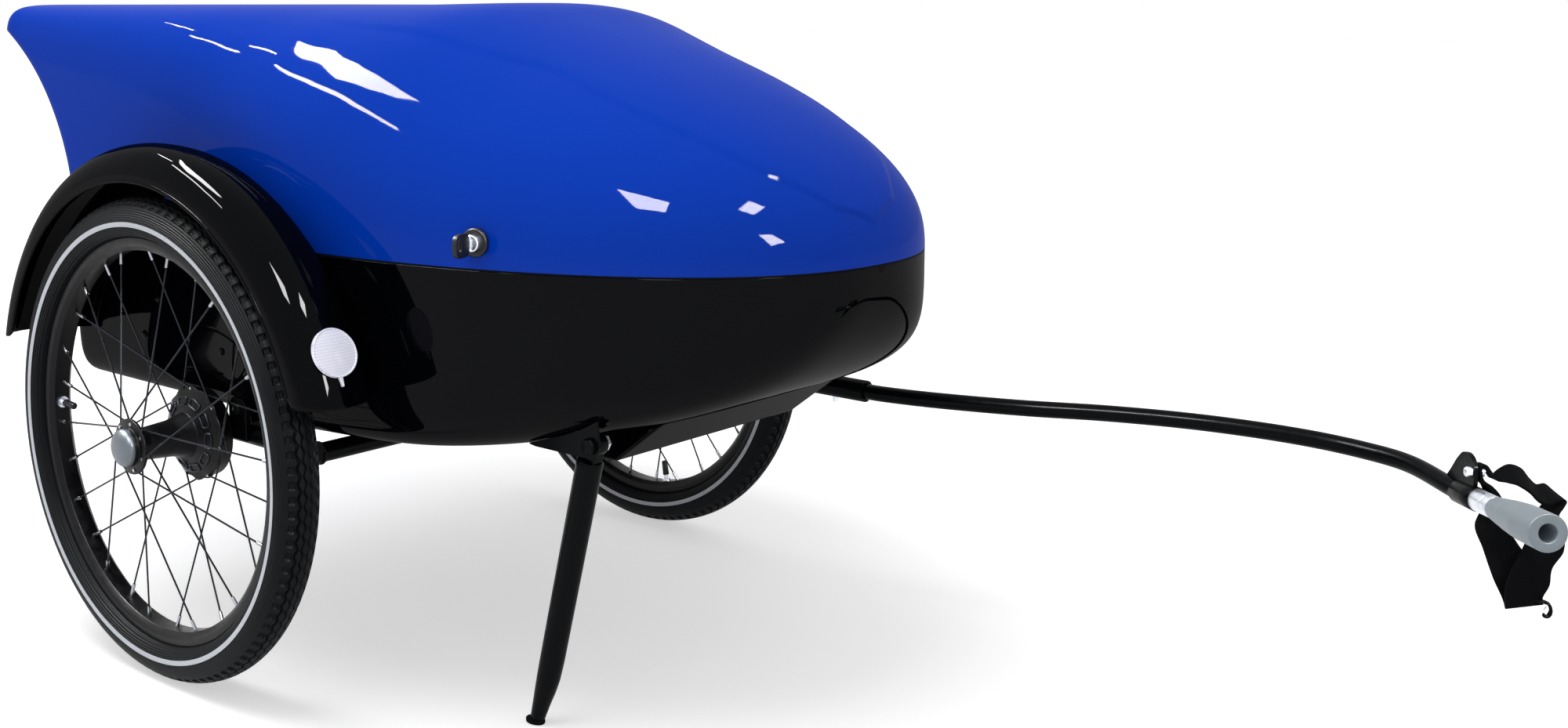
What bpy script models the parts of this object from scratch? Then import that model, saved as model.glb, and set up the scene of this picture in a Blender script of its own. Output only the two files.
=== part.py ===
"""Two-wheeled bicycle trailer: a moulded tub with a hinged lid on a tube frame, towed by a bent bar.

Metres, +Z up. +X points to the bicycle and +Y to the trailer's left. The sizes below are measured from
the point on the ground under the middle of the axle, and the last step moves the whole trailer so that
the origin is the middle of its footprint.
"""
import math

import bmesh
import bpy
import numpy as np
from mathutils import Matrix, Vector

# Clearances
SEAT_GAP = 0.0003
RUNNING_GAP = 0.0006
NUT_SIDES = 6

# Wheels
WHEEL_RADIUS = 0.250
AXLE_HEIGHT = WHEEL_RADIUS
TRACK = 0.732
TYRE_RADIUS = 0.0235
TYRE_WALL = 0.0032
RIM_SEAT_RADIUS = 0.2040
RIM_WIDTH = 0.0270
RIM_WALL = 0.0018
RIM_DEPTH = 0.0160
SPOKE_COUNT = 28
SPOKE_CROSSES = 2
SPOKE_RADIUS = 0.0010
VALVE_RADIUS = 0.0030
VALVE_LENGTH = 0.0420
WHEEL_STEPS = 34

# Hub, measured outwards from the wheel's middle plane
OUTER_FLANGE_PLACE = 0.0334
OUTER_FLANGE_RADIUS = 0.0285
HUB_END = 0.0400
HUB_BARREL_RADIUS = 0.0165
DRUM_PLACE = -0.0405
DRUM_FLANGE_RADIUS = 0.0500
DRUM_RADIUS = 0.0465
DRUM_END = -0.0550
DRUM_WALL = 0.0030
SLOT_COUNT = 10
SLOT_LENGTH = 0.0130
SLOT_WIDTH = 0.0060
AXLE_RADIUS = 0.0060
BEARING_RADIUS = 0.0140
BEARING_WIDTH = 0.0080
CAP_RADIUS = 0.0192
CAP_HEIGHT = 0.0100
RIGHT_VALVE_DEG = 177.0
LEFT_VALVE_DEG = -100.0

# Tub and lid
SEAM_HEIGHT = 0.4525
SEAM_GAP = 0.0020
HALF_WIDTH = 0.305
BOW_START = 0.056
BOW_LENGTH = 0.579
BOW_POWER = 2.26
SIDE_INSET = 0.013
INSET_FROM = 0.150
INSET_TO = -0.060
REAR_PLACE = -0.305
SHELL_WALL = 0.0040
LID_HEIGHT = 0.2385
LID_SLOPE_START = 0.215
LID_SLOPE_POWER = 0.90
LID_NOSE_POWER = 2.20
LID_LIP = 0.150
LID_FLARE = 0.018
LID_LIP_FADE = 0.240
REAR_CORNER = 0.026
LID_TOP_CORNER = 0.012
TUB_SLOPE_START = 0.256
TUB_SLOPE_POWER = 1.51
TUB_NOSE_POWER = 2.74
TUB_BOTTOM_CORNER = 0.028
KEEL_DEPTH = 0.0055
KEEL_HALF_WIDTH = 0.137
KEEL_REAR = 0.110
KEEL_FRONT = 0.424
KEEL_SLOPE = 0.062
SEAL_SIZE = 0.0080
SEAL_HEIGHT = 0.0110

# Lid hinges
HINGE_SPREAD = 0.320
HINGE_LEAF_WIDTH = 0.044
HINGE_LEAF_HEIGHT = 0.022
LID_LEAF_HEIGHT = 0.012
LID_LEAF_SEAT = 0.0014
HINGE_LEAF_THICKNESS = 0.0020
HINGE_KNUCKLE_RADIUS = 0.0040
HINGE_PIN_RADIUS = 0.0018

# Lid lock
LOCK_PLACE = 0.375
LOCK_HEIGHT = 0.478
BEZEL_RADIUS = 0.0135
BEZEL_HEIGHT = 0.0045
BARREL_RADIUS = 0.0095
BARREL_LENGTH = 0.0200
PLUG_RADIUS = 0.0078
KEY_WIDTH = 0.0220
KEY_LENGTH = 0.0230
KEY_THICKNESS = 0.0035
CAM_THICKNESS = 0.0020
CAM_REACH = 0.045
CAM_HOOK = 0.022
STRIKE_THICKNESS = 0.0030

# Mudguards
GUARD_WALL = 0.0030
GUARD_CUT_HEIGHT = 0.327
GUARD_SECTION = (
    (0.3900, 0.2655),
    (0.3893, 0.2775),
    (0.3845, 0.2885),
    (0.3760, 0.2975),
    (0.3620, 0.3028),
    (0.3440, 0.3022),
    (0.3240, 0.2955),
    (0.3020, 0.2745),
)
GUARD_FLANGE = 0.0130
GUARD_SEAT = 0.0009
REFLECTOR_RADIUS = 0.0235
REFLECTOR_THICKNESS = 0.0050
REFLECTOR_DEG = 24.5
REFLECTOR_SIDE = 0.3535

# Frame
AXLE_TUBE_RADIUS = 0.0110
AXLE_TUBE_HALF = 0.3030
RAIL_RADIUS = 0.0100
RAIL_SIDE = 0.2910
RECEIVER_SIDE = 0.2870
CROSS_PLACE = 0.150
LUG_HEIGHT = 0.040
LUG_WALL = 0.0070
RECEIVER_RADIUS = 0.0125
RECEIVER_END = 0.416
RECEIVER_DEPTH = 0.190
PIN_PLACE = 0.372
PIN_RADIUS = 0.0035

# Tow bar
BAR_RADIUS = 0.0090
BAR_SOCKET_RADIUS = 0.0112
BAR_ROUTE = (
    (0.430, 0.2870, 0.2500),
    (0.488, 0.2980, 0.2500),
    (0.590, 0.3320, 0.2500),
    (0.682, 0.3740, 0.2500),
    (0.772, 0.4100, 0.2478),
    (0.868, 0.4290, 0.2450),
    (0.935, 0.4245, 0.2433),
    (0.985, 0.4060, 0.2425),
)
BAR_END = (1.0761, 0.3237, 0.2411)
BAR_SOCKET_LENGTH = 0.047
BAR_SAMPLES = 22
COUPLING_TURN_DEG = -50.0
COUPLING_RISE_DEG = 4.8
SLEEVE_RADIUS = 0.0104
SLEEVE_LENGTH = 0.036
COUPLING_LENGTH = 0.098
COUPLING_NECK_RADIUS = 0.0106
COUPLING_MOUTH_RADIUS = 0.0168
COUPLING_BORE_RADIUS = 0.0080
COUPLING_BORE_DEPTH = 0.045

# Safety strap, in the coupling's frame: +Z out of its mouth, +Y up, +X to its left. Each station has the
# band's middle and its width as a line across
STRAP_THICKNESS = 0.0026
STRAP_ROUTE = (
    (0.0046, 0.0240, -0.0130, 0.0, 0.0, 0.0120),
    (0.0065, 0.0165, -0.0125, 0.0, 0.0, 0.0140),
    (0.0115, 0.0115, -0.0100, 0.0, 0.001, 0.0220),
    (0.0152, 0.0020, -0.0060, 0.002, 0.004, 0.0280),
    (0.0122, -0.0100, -0.0010, 0.004, 0.008, 0.0340),
    (0.0078, -0.0190, 0.0010, 0.006, 0.014, 0.0340),
    (0.0165, -0.0395, 0.0070, 0.015, 0.013, 0.0310),
    (0.0264, -0.0640, 0.0150, 0.033, 0.008, 0.0120),
    (0.0336, -0.0861, 0.0170, 0.031, 0.006, 0.0060),
    (0.0338, -0.0920, 0.0210, 0.032, 0.005, 0.0040),
    (0.0316, -0.0838, 0.0250, 0.032, 0.003, 0.0030),
    (0.0336, -0.0723, 0.0268, 0.037, 0.002, 0.0040),
    (0.0369, -0.0565, 0.0275, 0.033, 0.002, 0.0060),
    (0.0464, -0.0378, 0.0285, 0.030, 0.0, 0.0140),
    (0.0508, -0.0209, 0.0270, 0.014, 0.0, 0.0280),
    (0.0531, -0.0059, 0.0225, 0.002, 0.0, 0.0310),
    (0.0590, 0.0019, 0.0215, 0.0, 0.0, 0.0310),
    (0.0613, 0.0088, 0.0215, 0.0, 0.0, 0.0310),
    (0.0560, 0.0118, 0.0215, 0.0, 0.0, 0.0310),
    (0.0474, 0.0096, 0.0215, 0.0, 0.0, 0.0310),
    (0.0400, 0.0140, 0.0210, 0.0, 0.0, 0.0310),
    (0.0327, 0.0222, 0.0200, 0.0, 0.0, 0.0300),
    (0.0240, 0.0265, 0.0165, 0.0, 0.0, 0.0280),
    (0.0180, 0.0240, 0.0080, 0.0, 0.0, 0.0220),
    (0.0145, 0.0200, -0.0030, 0.0, 0.0, 0.0160),
    (0.0128, 0.0250, -0.0110, 0.0, 0.0, 0.0120),
    (0.0090, 0.0305, -0.0130, 0.0, 0.0, 0.0120),
    (0.0053, 0.0300, -0.0130, 0.0, 0.0, 0.0120),
)
LUG_THICKNESS = 0.0040
LUG_BOLT_HEIGHT = 0.0238
LUG_BOLT_PLACE = -0.0130
HOOK_WIRE = 0.0013
HOOK_RING_PLACE = (0.0482, -0.0869, 0.0225)
HOOK_RING_RADIUS = 0.0065
HOOK_TURN = -0.30
EYELET_RADIUS = 0.0034
HOOK_OUTLINE = (
    (0.0062, -0.0019),
    (0.0086, -0.0060),
    (0.0088, -0.0105),
    (0.0064, -0.0142),
    (0.0032, -0.0136),
    (0.0026, -0.0112),
)
HOOK_GATE = ((0.0030, -0.0084), (0.0055, -0.0050))

# Parking stand
STAND_PLACE = 0.4605
STAND_SIDE = -0.200
STAND_PIVOT_HEIGHT = 0.2915
STAND_KNEE = (0.4516, 0.2740)
STAND_GROUND_PLACE = 0.3815
STAND_TAPER = (
    (0.2740, 0.0128),
    (0.1600, 0.0124),
    (0.0700, 0.0120),
    (0.0500, 0.0115),
    (0.0360, 0.0104),
    (0.0220, 0.0088),
    (0.0065, 0.0074),
)
STAND_NECK_REAR = 0.0118
STAND_NECK_FRONT = 0.0100
STAND_EYE_RADIUS = 0.0098
STAND_EYE_HALF_WIDTH = 0.0062
STAND_BOLT_RADIUS = 0.0040
STAND_FOOT_HALF_WIDTH = 0.0072
STAND_PLUG_RADIUS = 0.0045
STAND_PLUG_LENGTH = 0.0140
BRACKET_WALL = 0.0022
BRACKET_REAR = 0.380
BRACKET_FLANGE_REAR = 0.396
BRACKET_FLANGE_FRONT = 0.4315
BRACKET_FLANGE_SIDE = -0.187
BRACKET_FLOOR = 0.2792
BRACKET_EAR = 0.0120
STOP_PLACE = 0.4378
STOP_HEIGHT = 0.2885
STOP_RADIUS = 0.0050

# The middle of the trailer's footprint, from the point under the axle
FOOTPRINT_X = 0.3583
FOOTPRINT_Y = 0.0110

MATERIALS = {
    "blue_gelcoat": ((0.010, 0.060, 0.520), 0.12, 0.0),
    "black_gelcoat": ((0.012, 0.012, 0.013), 0.15, 0.0),
    "tyre_rubber": ((0.020, 0.020, 0.021), 0.75, 0.0),
    "seal_rubber": ((0.015, 0.015, 0.015), 0.80, 0.0),
    "black_alloy": ((0.015, 0.015, 0.016), 0.35, 0.4),
    "black_paint": ((0.014, 0.014, 0.015), 0.30, 0.0),
    "zinc": ((0.620, 0.630, 0.640), 0.35, 1.0),
    "steel": ((0.560, 0.570, 0.580), 0.30, 1.0),
    "grey_cap": ((0.300, 0.310, 0.320), 0.40, 0.3),
    "grey_polymer": ((0.330, 0.350, 0.350), 0.50, 0.0),
    "black_plastic": ((0.018, 0.018, 0.019), 0.45, 0.0),
    "white_reflector": ((0.780, 0.790, 0.860), 0.25, 0.0),
    "webbing": ((0.018, 0.018, 0.021), 0.90, 0.0),
}

PARTS = bpy.data.collections.new("bicycle_trailer")
CUTTERS = bpy.data.collections.new("cutters")


# Helpers

def clear_scene():
    for obj in list(bpy.data.objects):
        bpy.data.objects.remove(obj, do_unlink=True)
    bpy.context.scene.collection.children.link(PARTS)
    bpy.context.scene.collection.children.link(CUTTERS)


def material(name):
    found = bpy.data.materials.get(name)
    if found:
        return found
    colour, roughness, metallic = MATERIALS[name]
    made = bpy.data.materials.new(name)
    made.use_nodes = True
    shader = made.node_tree.nodes["Principled BSDF"]
    shader.inputs["Base Color"].default_value = (*colour, 1.0)
    shader.inputs["Roughness"].default_value = roughness
    shader.inputs["Metallic"].default_value = metallic
    made.diffuse_color = (*colour, 1.0)
    return made


def add(name, data, finish, matrix=Matrix()):
    obj = bpy.data.objects.new(name, data)
    if finish:
        obj.data.materials.append(material(finish))
        PARTS.objects.link(obj)
    else:
        CUTTERS.objects.link(obj)
        obj.hide_render = True
        obj.display_type = "WIRE"
    obj.matrix_world = matrix
    return obj


def mesh_from(bm, name, smooth_deg=35.0):
    mesh = bpy.data.meshes.new(name)
    bm.to_mesh(mesh)
    bm.free()
    mesh.shade_smooth()
    mesh.set_sharp_from_angle(angle=math.radians(smooth_deg))
    return mesh


def along(start, direction, up=(0.0, 0.0, 1.0)):
    """A frame at start with +Z along direction and +Y as near to up as it goes."""
    z = Vector(direction).normalized()
    x = Vector(up).cross(z)
    if x.length < 1e-6:
        x = Vector((0.0, 1.0, 0.0)).cross(z)
    x.normalize()
    y = z.cross(x)
    frame = Matrix((x, y, z)).transposed().to_4x4()
    frame.translation = Vector(start)
    return frame


def cylinder(name, radius, start, end, finish, segments=20):
    """A round bar between two points."""
    start = Vector(start)
    end = Vector(end)
    bm = bmesh.new()
    bmesh.ops.create_cone(bm, cap_ends=True, segments=segments, radius1=radius, radius2=radius,
                          depth=(end - start).length)
    return add(name, mesh_from(bm, name), finish, along((start + end) / 2, end - start))


def block(name, low, high, finish, bevel=0.0, matrix=Matrix()):
    """A box between two corners."""
    low = Vector(low)
    high = Vector(high)
    bm = bmesh.new()
    bmesh.ops.create_cube(bm, size=1.0)
    bmesh.ops.scale(bm, vec=high - low, verts=bm.verts)
    bmesh.ops.translate(bm, vec=(low + high) / 2, verts=bm.verts)
    obj = add(name, mesh_from(bm, name), finish, matrix)
    if bevel:
        edge = obj.modifiers.new("edge", "BEVEL")
        edge.width = bevel
        edge.segments = 2
    return obj


def turned(name, profile, finish, matrix=Matrix(), steps=24, closed=True):
    """A turned solid about its own Z: the profile's (radius, height) points run down its outer side."""
    bm = bmesh.new()
    verts = [bm.verts.new((radius, 0.0, height)) for radius, height in profile]
    for first, second in zip(verts, verts[1:]):
        bm.edges.new((first, second))
    if closed:
        bm.edges.new((verts[-1], verts[0]))
    obj = add(name, mesh_from(bm, name), finish, matrix)
    screw = obj.modifiers.new("turn", "SCREW")
    screw.axis = "Z"
    screw.angle = math.tau
    screw.steps = steps
    screw.render_steps = steps
    screw.use_merge_vertices = True
    screw.merge_threshold = 0.00001
    screw.use_smooth_shade = True
    return obj


def tube(name, points, radius, finish, radii=None, resolution=3):
    """A tube along a line of points, with an end cap at each end."""
    curve = bpy.data.curves.new(name, "CURVE")
    curve.dimensions = "3D"
    curve.bevel_depth = radius
    curve.bevel_resolution = resolution
    curve.use_fill_caps = True
    spline = curve.splines.new("POLY")
    spline.points.add(len(points) - 1)
    for index, point in enumerate(points):
        spline.points[index].co = (*point, 1.0)
        spline.points[index].radius = radii[index] / radius if radii is not None else 1.0
    return add(name, curve, finish)


def plate(name, outline, thickness, finish, matrix=Matrix()):
    """A flat plate: its outline lies in its own XY plane and its thickness is shared by both sides."""
    curve = bpy.data.curves.new(name, "CURVE")
    curve.dimensions = "2D"
    curve.fill_mode = "BOTH"
    curve.extrude = thickness / 2
    spline = curve.splines.new("POLY")
    spline.points.add(len(outline) - 1)
    for index, (x, y) in enumerate(outline):
        spline.points[index].co = (x, y, 0.0, 1.0)
    spline.use_cyclic_u = True
    return add(name, curve, finish, matrix)


def turned_nut(name, radius, bore, top, bottom, finish, matrix):
    """A six-sided nut: its bore has six sides too, so it is widened to clear the round it sits on."""
    inner = (bore + SEAT_GAP) / math.cos(math.pi / NUT_SIDES)
    profile = ((radius, top), (radius, bottom), (inner, bottom), (inner, top))
    return turned(name, profile, finish, matrix, NUT_SIDES)


def as_mesh(obj):
    """The same object with its curve made a mesh, its caps welded."""
    bpy.context.view_layer.update()
    graph = bpy.context.evaluated_depsgraph_get()
    mesh = bpy.data.meshes.new_from_object(obj.evaluated_get(graph))
    bm = bmesh.new()
    bm.from_mesh(mesh)
    bmesh.ops.remove_doubles(bm, verts=bm.verts, dist=0.000001)
    bm.to_mesh(mesh)
    bm.free()
    name = obj.name
    matrix = obj.matrix_world.copy()
    collections = list(obj.users_collection)
    wire = obj.display_type == "WIRE"
    bpy.data.objects.remove(obj, do_unlink=True)
    made = bpy.data.objects.new(name, mesh)
    for collection in collections:
        collection.objects.link(made)
    made.matrix_world = matrix
    made.hide_render = wire
    made.display_type = "WIRE" if wire else "TEXTURED"
    return made


def combine(target, tool, operation):
    """Joins the tool to the target, or cuts it out of the target."""
    boolean = target.modifiers.new(operation.lower(), "BOOLEAN")
    boolean.operation = operation
    boolean.solver = "EXACT"
    boolean.object = tool
    return target


def unite(target, tool):
    return combine(target, tool, "UNION")


def cut(target, tool):
    return combine(target, tool, "DIFFERENCE")


def resample(line, count, closed=False):
    """Even steps along a line of rows, by the distance between the rows' first three numbers."""
    lengths = np.concatenate(([0.0], np.cumsum(np.linalg.norm(np.diff(line[:, :3], axis=0), axis=1))))
    steps = np.linspace(0.0, lengths[-1], count, endpoint=not closed)
    return np.stack([np.interp(steps, lengths, column) for column in line.T], axis=1)


def curve_rows(padded):
    """Rows along a centripetal curve through the padded rows, from the second to the last but one."""
    gaps = np.sqrt(np.linalg.norm(np.diff(padded[:, :3], axis=0), axis=1))
    knots = np.concatenate(([0.0], np.cumsum(gaps)))
    rows = []
    for i in range(1, len(padded) - 2):
        t0, t1, t2, t3 = knots[i - 1:i + 3]
        for t in np.linspace(t1, t2, 24, endpoint=False):
            a1 = ((t1 - t) * padded[i - 1] + (t - t0) * padded[i]) / (t1 - t0)
            a2 = ((t2 - t) * padded[i] + (t - t1) * padded[i + 1]) / (t2 - t1)
            a3 = ((t3 - t) * padded[i + 1] + (t - t2) * padded[i + 2]) / (t3 - t2)
            b1 = ((t2 - t) * a1 + (t - t0) * a2) / (t2 - t0)
            b2 = ((t3 - t) * a2 + (t - t1) * a3) / (t3 - t1)
            rows.append(((t2 - t) * b1 + (t - t1) * b2) / (t2 - t1))
    rows.append(padded[-2])
    return np.array(rows)


def smooth_line(points, count):
    """Points at even steps along a smooth line through the given points."""
    points = np.asarray(points, float)
    padded = np.vstack((2 * points[0] - points[1], points, 2 * points[-1] - points[-2]))
    return resample(curve_rows(padded), count)


def smooth_loop(points, count):
    """Rows at even steps round a closed smooth line through the given rows."""
    points = np.asarray(points, float)
    padded = np.vstack((points[-1:], points, points[:2]))
    return resample(curve_rows(padded), count, closed=True)


def grid_mesh(name, rings, closed_rings=False, closed_ends=False):
    """A surface through rings of points, each ring an array of the same length."""
    rings = np.asarray(rings, float)
    ring_count, point_count = rings.shape[:2]
    bm = bmesh.new()
    verts = [[bm.verts.new(point) for point in ring] for ring in rings]
    last_ring = ring_count if closed_ends else ring_count - 1
    last_point = point_count if closed_rings else point_count - 1
    for i in range(last_ring):
        for j in range(last_point):
            following = (i + 1) % ring_count
            beside = (j + 1) % point_count
            bm.faces.new((verts[i][j], verts[following][j], verts[following][beside], verts[i][beside]))
    bmesh.ops.remove_doubles(bm, verts=bm.verts, dist=0.000001)
    return mesh_from(bm, name)


def smooth_step(value):
    clipped = np.clip(value, 0.0, 1.0)
    return clipped * clipped * (3.0 - 2.0 * clipped)


# Shape of the hull

NOSE_PLACE = BOW_START + BOW_LENGTH
TUB_TOP = SEAM_HEIGHT - SEAM_GAP / 2
LID_BASE = SEAM_HEIGHT + SEAM_GAP / 2
TUB_DEPTH = TUB_TOP - (AXLE_HEIGHT + AXLE_TUBE_RADIUS + RUNNING_GAP)
LID_RISE = LID_HEIGHT - SEAM_GAP / 2


def half_width(x):
    """Half the hull's width at the seam: a blunt bow ahead, and sides drawn in beside the wheels."""
    bow = np.clip((x - BOW_START) / BOW_LENGTH, 0.0, 1.0)
    inset = SIDE_INSET * smooth_step((INSET_FROM - x) / (INSET_FROM - INSET_TO))
    return HALF_WIDTH * (1.0 - bow ** BOW_POWER) ** (1.0 / BOW_POWER) - inset


def lid_height(x):
    """The lid's height over the seam: level behind, falling nearly straight to a round nose."""
    slope = np.clip((x - LID_SLOPE_START) / (NOSE_PLACE - LID_SLOPE_START), 0.0, 1.0)
    return LID_RISE * (1.0 - slope ** LID_SLOPE_POWER) ** (1.0 / LID_NOSE_POWER)


def tub_depth(x):
    """The tub's depth under the seam: level behind, rising to the nose in a long curve."""
    slope = np.clip((x - TUB_SLOPE_START) / (NOSE_PLACE - TUB_SLOPE_START), 0.0, 1.0)
    return TUB_DEPTH * (1.0 - slope ** TUB_SLOPE_POWER) ** (1.0 / TUB_NOSE_POWER)


def lid_squareness(x):
    """How square the lid's section is: tight shoulders at the rear, a full round at the bow."""
    return np.interp(x, (-0.30, -0.23, -0.144, -0.06, 0.016, 0.115, 0.216, 0.32),
                     (20.0, 13.0, 9.3, 6.2, 4.3, 3.2, 2.65, 2.33))


def tub_squareness(x):
    return np.interp(x, (0.10, 0.40, 0.60), (13.3, 5.7, 5.0))


def section(x, width, height, power, base, upright, count=19):
    """One cross section, from the right edge round to the left edge, its points drawn to the corners."""
    angle = np.linspace(0.0, math.pi, count)
    angle = angle + 0.2 * (1.0 - 2.3 / power) * np.sin(4.0 * angle)
    across = np.cos(angle)
    up = np.sin(angle)
    reach = (np.abs(across) ** power + np.abs(up) ** power) ** (-1.0 / power)
    side = 1.0 if upright else -1.0
    ring = np.empty((count, 3))
    ring[:, 0] = x
    ring[:, 1] = -width * reach * across
    ring[:, 2] = base + side * height * reach * up
    return ring


def hull_rings(height_at, power_at, base, upright, level_corner):
    """Sections from the middle of the rear wall, round its corner and along to the nose."""
    rear = REAR_PLACE
    width = half_width(rear + REAR_CORNER)
    height = height_at(rear + REAR_CORNER)
    power = power_at(rear)
    rings = []
    for share in (0.0, 0.35, 0.7):
        rings.append(section(rear, (width - REAR_CORNER) * share, (height - level_corner) * share, power, base,
                             upright))
    for turn in np.linspace(0.0, math.pi / 2, 5):
        inward = 1.0 - math.sin(turn)
        back = REAR_CORNER * (1.0 - math.cos(turn))
        rings.append(section(rear + back, width - REAR_CORNER * inward, height - level_corner * inward, power, base,
                             upright))
    along_hull = (rear + REAR_CORNER + (NOSE_PLACE - rear - REAR_CORNER)
                  * np.sin(np.linspace(0.0, math.pi / 2, 20)))
    for x in along_hull[1:]:
        rings.append(section(x, half_width(x), height_at(x), power_at(x), base, upright))
    return np.array(rings)


def lid_rings():
    """The lid's sections, with the rear drawn out backwards towards the top into a lip."""
    rings = hull_rings(lid_height, lid_squareness, LID_BASE, True, LID_TOP_CORNER)
    raised = (rings[:, :, 2] - LID_BASE) / LID_RISE
    fade = smooth_step((REAR_PLACE + LID_LIP_FADE - rings[:, :, 0]) / LID_LIP_FADE)
    rings[:, :, 0] -= (LID_LIP * raised ** 2 + LID_FLARE * raised ** 12) * fade
    return rings


def tub_rings():
    rings = hull_rings(tub_depth, tub_squareness, TUB_TOP, False, TUB_BOTTOM_CORNER)
    return rings[:, ::-1]


def tub_side(x, height):
    """Half the tub's width at a height."""
    level = np.clip((TUB_TOP - height) / tub_depth(x), 0.0, 1.0)
    power = tub_squareness(x)
    return half_width(x) * (1.0 - level ** power) ** (1.0 / power)


def tub_bottom(x, side):
    """The height of the tub's underside at a place."""
    power = tub_squareness(x)
    share = np.clip(abs(side) / half_width(x), 0.0, 1.0)
    return TUB_TOP - tub_depth(x) * (1.0 - share ** power) ** (1.0 / power)


def lid_side(x, height):
    """Half the lid's width at a height."""
    level = np.clip((height - LID_BASE) / lid_height(x), 0.0, 1.0)
    power = lid_squareness(x)
    return half_width(x) * (1.0 - level ** power) ** (1.0 / power)


def shell(name, rings, finish):
    obj = add(name, grid_mesh(name, rings), finish)
    wall = obj.modifiers.new("wall", "SOLIDIFY")
    wall.thickness = SHELL_WALL
    wall.offset = -1.0
    return obj


# Hull

def make_tub():
    """The tub: a moulded bowl with a shallow keel box under its floor."""
    tub = shell("tub", tub_rings(), "black_gelcoat")
    stations = np.linspace(KEEL_FRONT + KEEL_SLOPE, KEEL_REAR, 12)
    keel_floor = AXLE_HEIGHT + AXLE_TUBE_RADIUS + RUNNING_GAP - KEEL_DEPTH
    outline = [(KEEL_REAR, keel_floor), (KEEL_FRONT, keel_floor)]
    outline += [(x, TUB_TOP - tub_depth(x) + SHELL_WALL / 2) for x in stations]
    keel = as_mesh(plate("keel", outline, 2 * KEEL_HALF_WIDTH, None, along((0, 0, 0), (0, -1, 0))))
    return unite(tub, keel)


def make_lid():
    return shell("lid", lid_rings(), "blue_gelcoat")


def make_seal():
    """A rubber strip inside the seam, all round."""
    places = lid_rings()[:, -1, :2]
    places = places[::-1]
    mirrored = places[::-1][1:-1] * (1.0, -1.0)
    outline = np.vstack((places, mirrored))
    ahead = np.roll(outline, -1, axis=0) - np.roll(outline, 1, axis=0)
    ahead /= np.linalg.norm(ahead, axis=1)[:, None]
    outward = np.stack((ahead[:, 1], -ahead[:, 0]), axis=1)
    if np.sum(outward * outline) < 0:
        outward = -outward
    inset = SHELL_WALL + 3 * SEAT_GAP
    low = SEAM_HEIGHT + SEAL_HEIGHT / 2 - SEAL_HEIGHT
    corners = ((inset, low), (inset + SEAL_SIZE, low), (inset + SEAL_SIZE, low + SEAL_HEIGHT),
               (inset, low + SEAL_HEIGHT))
    rings = [np.column_stack((outline - outward * depth, np.full(len(outline), height)))
             for depth, height in corners]
    seal = add("rim_seal", grid_mesh("rim_seal", rings, closed_rings=True, closed_ends=True), "seal_rubber")
    return seal


def make_hinge(name, side):
    """One butt hinge: a leaf on the tub, a leaf on the lid, and the pin between them."""
    axis_x = REAR_PLACE - SEAT_GAP - HINGE_LEAF_THICKNESS - HINGE_KNUCKLE_RADIUS + 0.0012
    half = HINGE_LEAF_WIDTH / 2
    third = HINGE_LEAF_WIDTH / 6
    clear = HINGE_KNUCKLE_RADIUS + 0.0006
    leaf_back = REAR_PLACE - SEAT_GAP
    lid_back = leaf_back - LID_LEAF_SEAT - LID_LIP * ((LID_LEAF_HEIGHT + clear) / LID_RISE) ** 2
    spans = {
        f"tub_hinge_{name}": (leaf_back, -1.0, HINGE_LEAF_HEIGHT, ((-third, third),)),
        f"lid_hinge_{name}": (lid_back, 1.0, LID_LEAF_HEIGHT, ((-half, -third), (third, half))),
    }
    for leaf_name, (back, way, leaf_height, knuckles) in spans.items():
        low_z = SEAM_HEIGHT + way * clear
        high_z = SEAM_HEIGHT + way * (clear + leaf_height)
        leaf = block(leaf_name, (back - HINGE_LEAF_THICKNESS, side - half, min(low_z, high_z)),
                     (back, side + half, max(low_z, high_z)), "steel")
        for index, (start, end) in enumerate(knuckles):
            start += SEAT_GAP
            end -= SEAT_GAP
            reach = SEAM_HEIGHT + way * (clear + 0.003)
            tab = block(f"{leaf_name}_tab_{index}",
                        (axis_x, side + start, min(SEAM_HEIGHT, reach)),
                        (back - 0.0002, side + end, max(SEAM_HEIGHT, reach)), None)
            unite(leaf, tab)
            knuckle = cylinder(f"{leaf_name}_knuckle_{index}", HINGE_KNUCKLE_RADIUS,
                               (axis_x, side + start, SEAM_HEIGHT), (axis_x, side + end, SEAM_HEIGHT), None, 12)
            unite(leaf, knuckle)
        bore = cylinder(f"{leaf_name}_bore", HINGE_PIN_RADIUS + SEAT_GAP,
                        (axis_x, side - HINGE_LEAF_WIDTH, SEAM_HEIGHT),
                        (axis_x, side + HINGE_LEAF_WIDTH, SEAM_HEIGHT), None, 8)
        cut(leaf, bore)
    cylinder(f"hinge_pin_{name}", HINGE_PIN_RADIUS, (axis_x, side - half - 0.001, SEAM_HEIGHT),
             (axis_x, side + half + 0.001, SEAM_HEIGHT), "steel", 8)
    return axis_x


# Lock

def lock_frame():
    """The lock's frame: +Z out of the lid's side, +Y up along it, +X forwards."""
    step = 0.001
    width = lid_side(LOCK_PLACE, LOCK_HEIGHT)
    place = Vector((LOCK_PLACE, -width, LOCK_HEIGHT))
    forward = Vector((2 * step, -(lid_side(LOCK_PLACE + step, LOCK_HEIGHT)
                                  - lid_side(LOCK_PLACE - step, LOCK_HEIGHT)), 0.0)).normalized()
    normal = Vector((forward.y, -forward.x, 0.0))
    if normal.y > 0:
        normal = -normal
    up = normal.cross(forward)
    frame = Matrix((forward, up, normal)).transposed().to_4x4()
    frame.translation = place
    return frame


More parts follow.
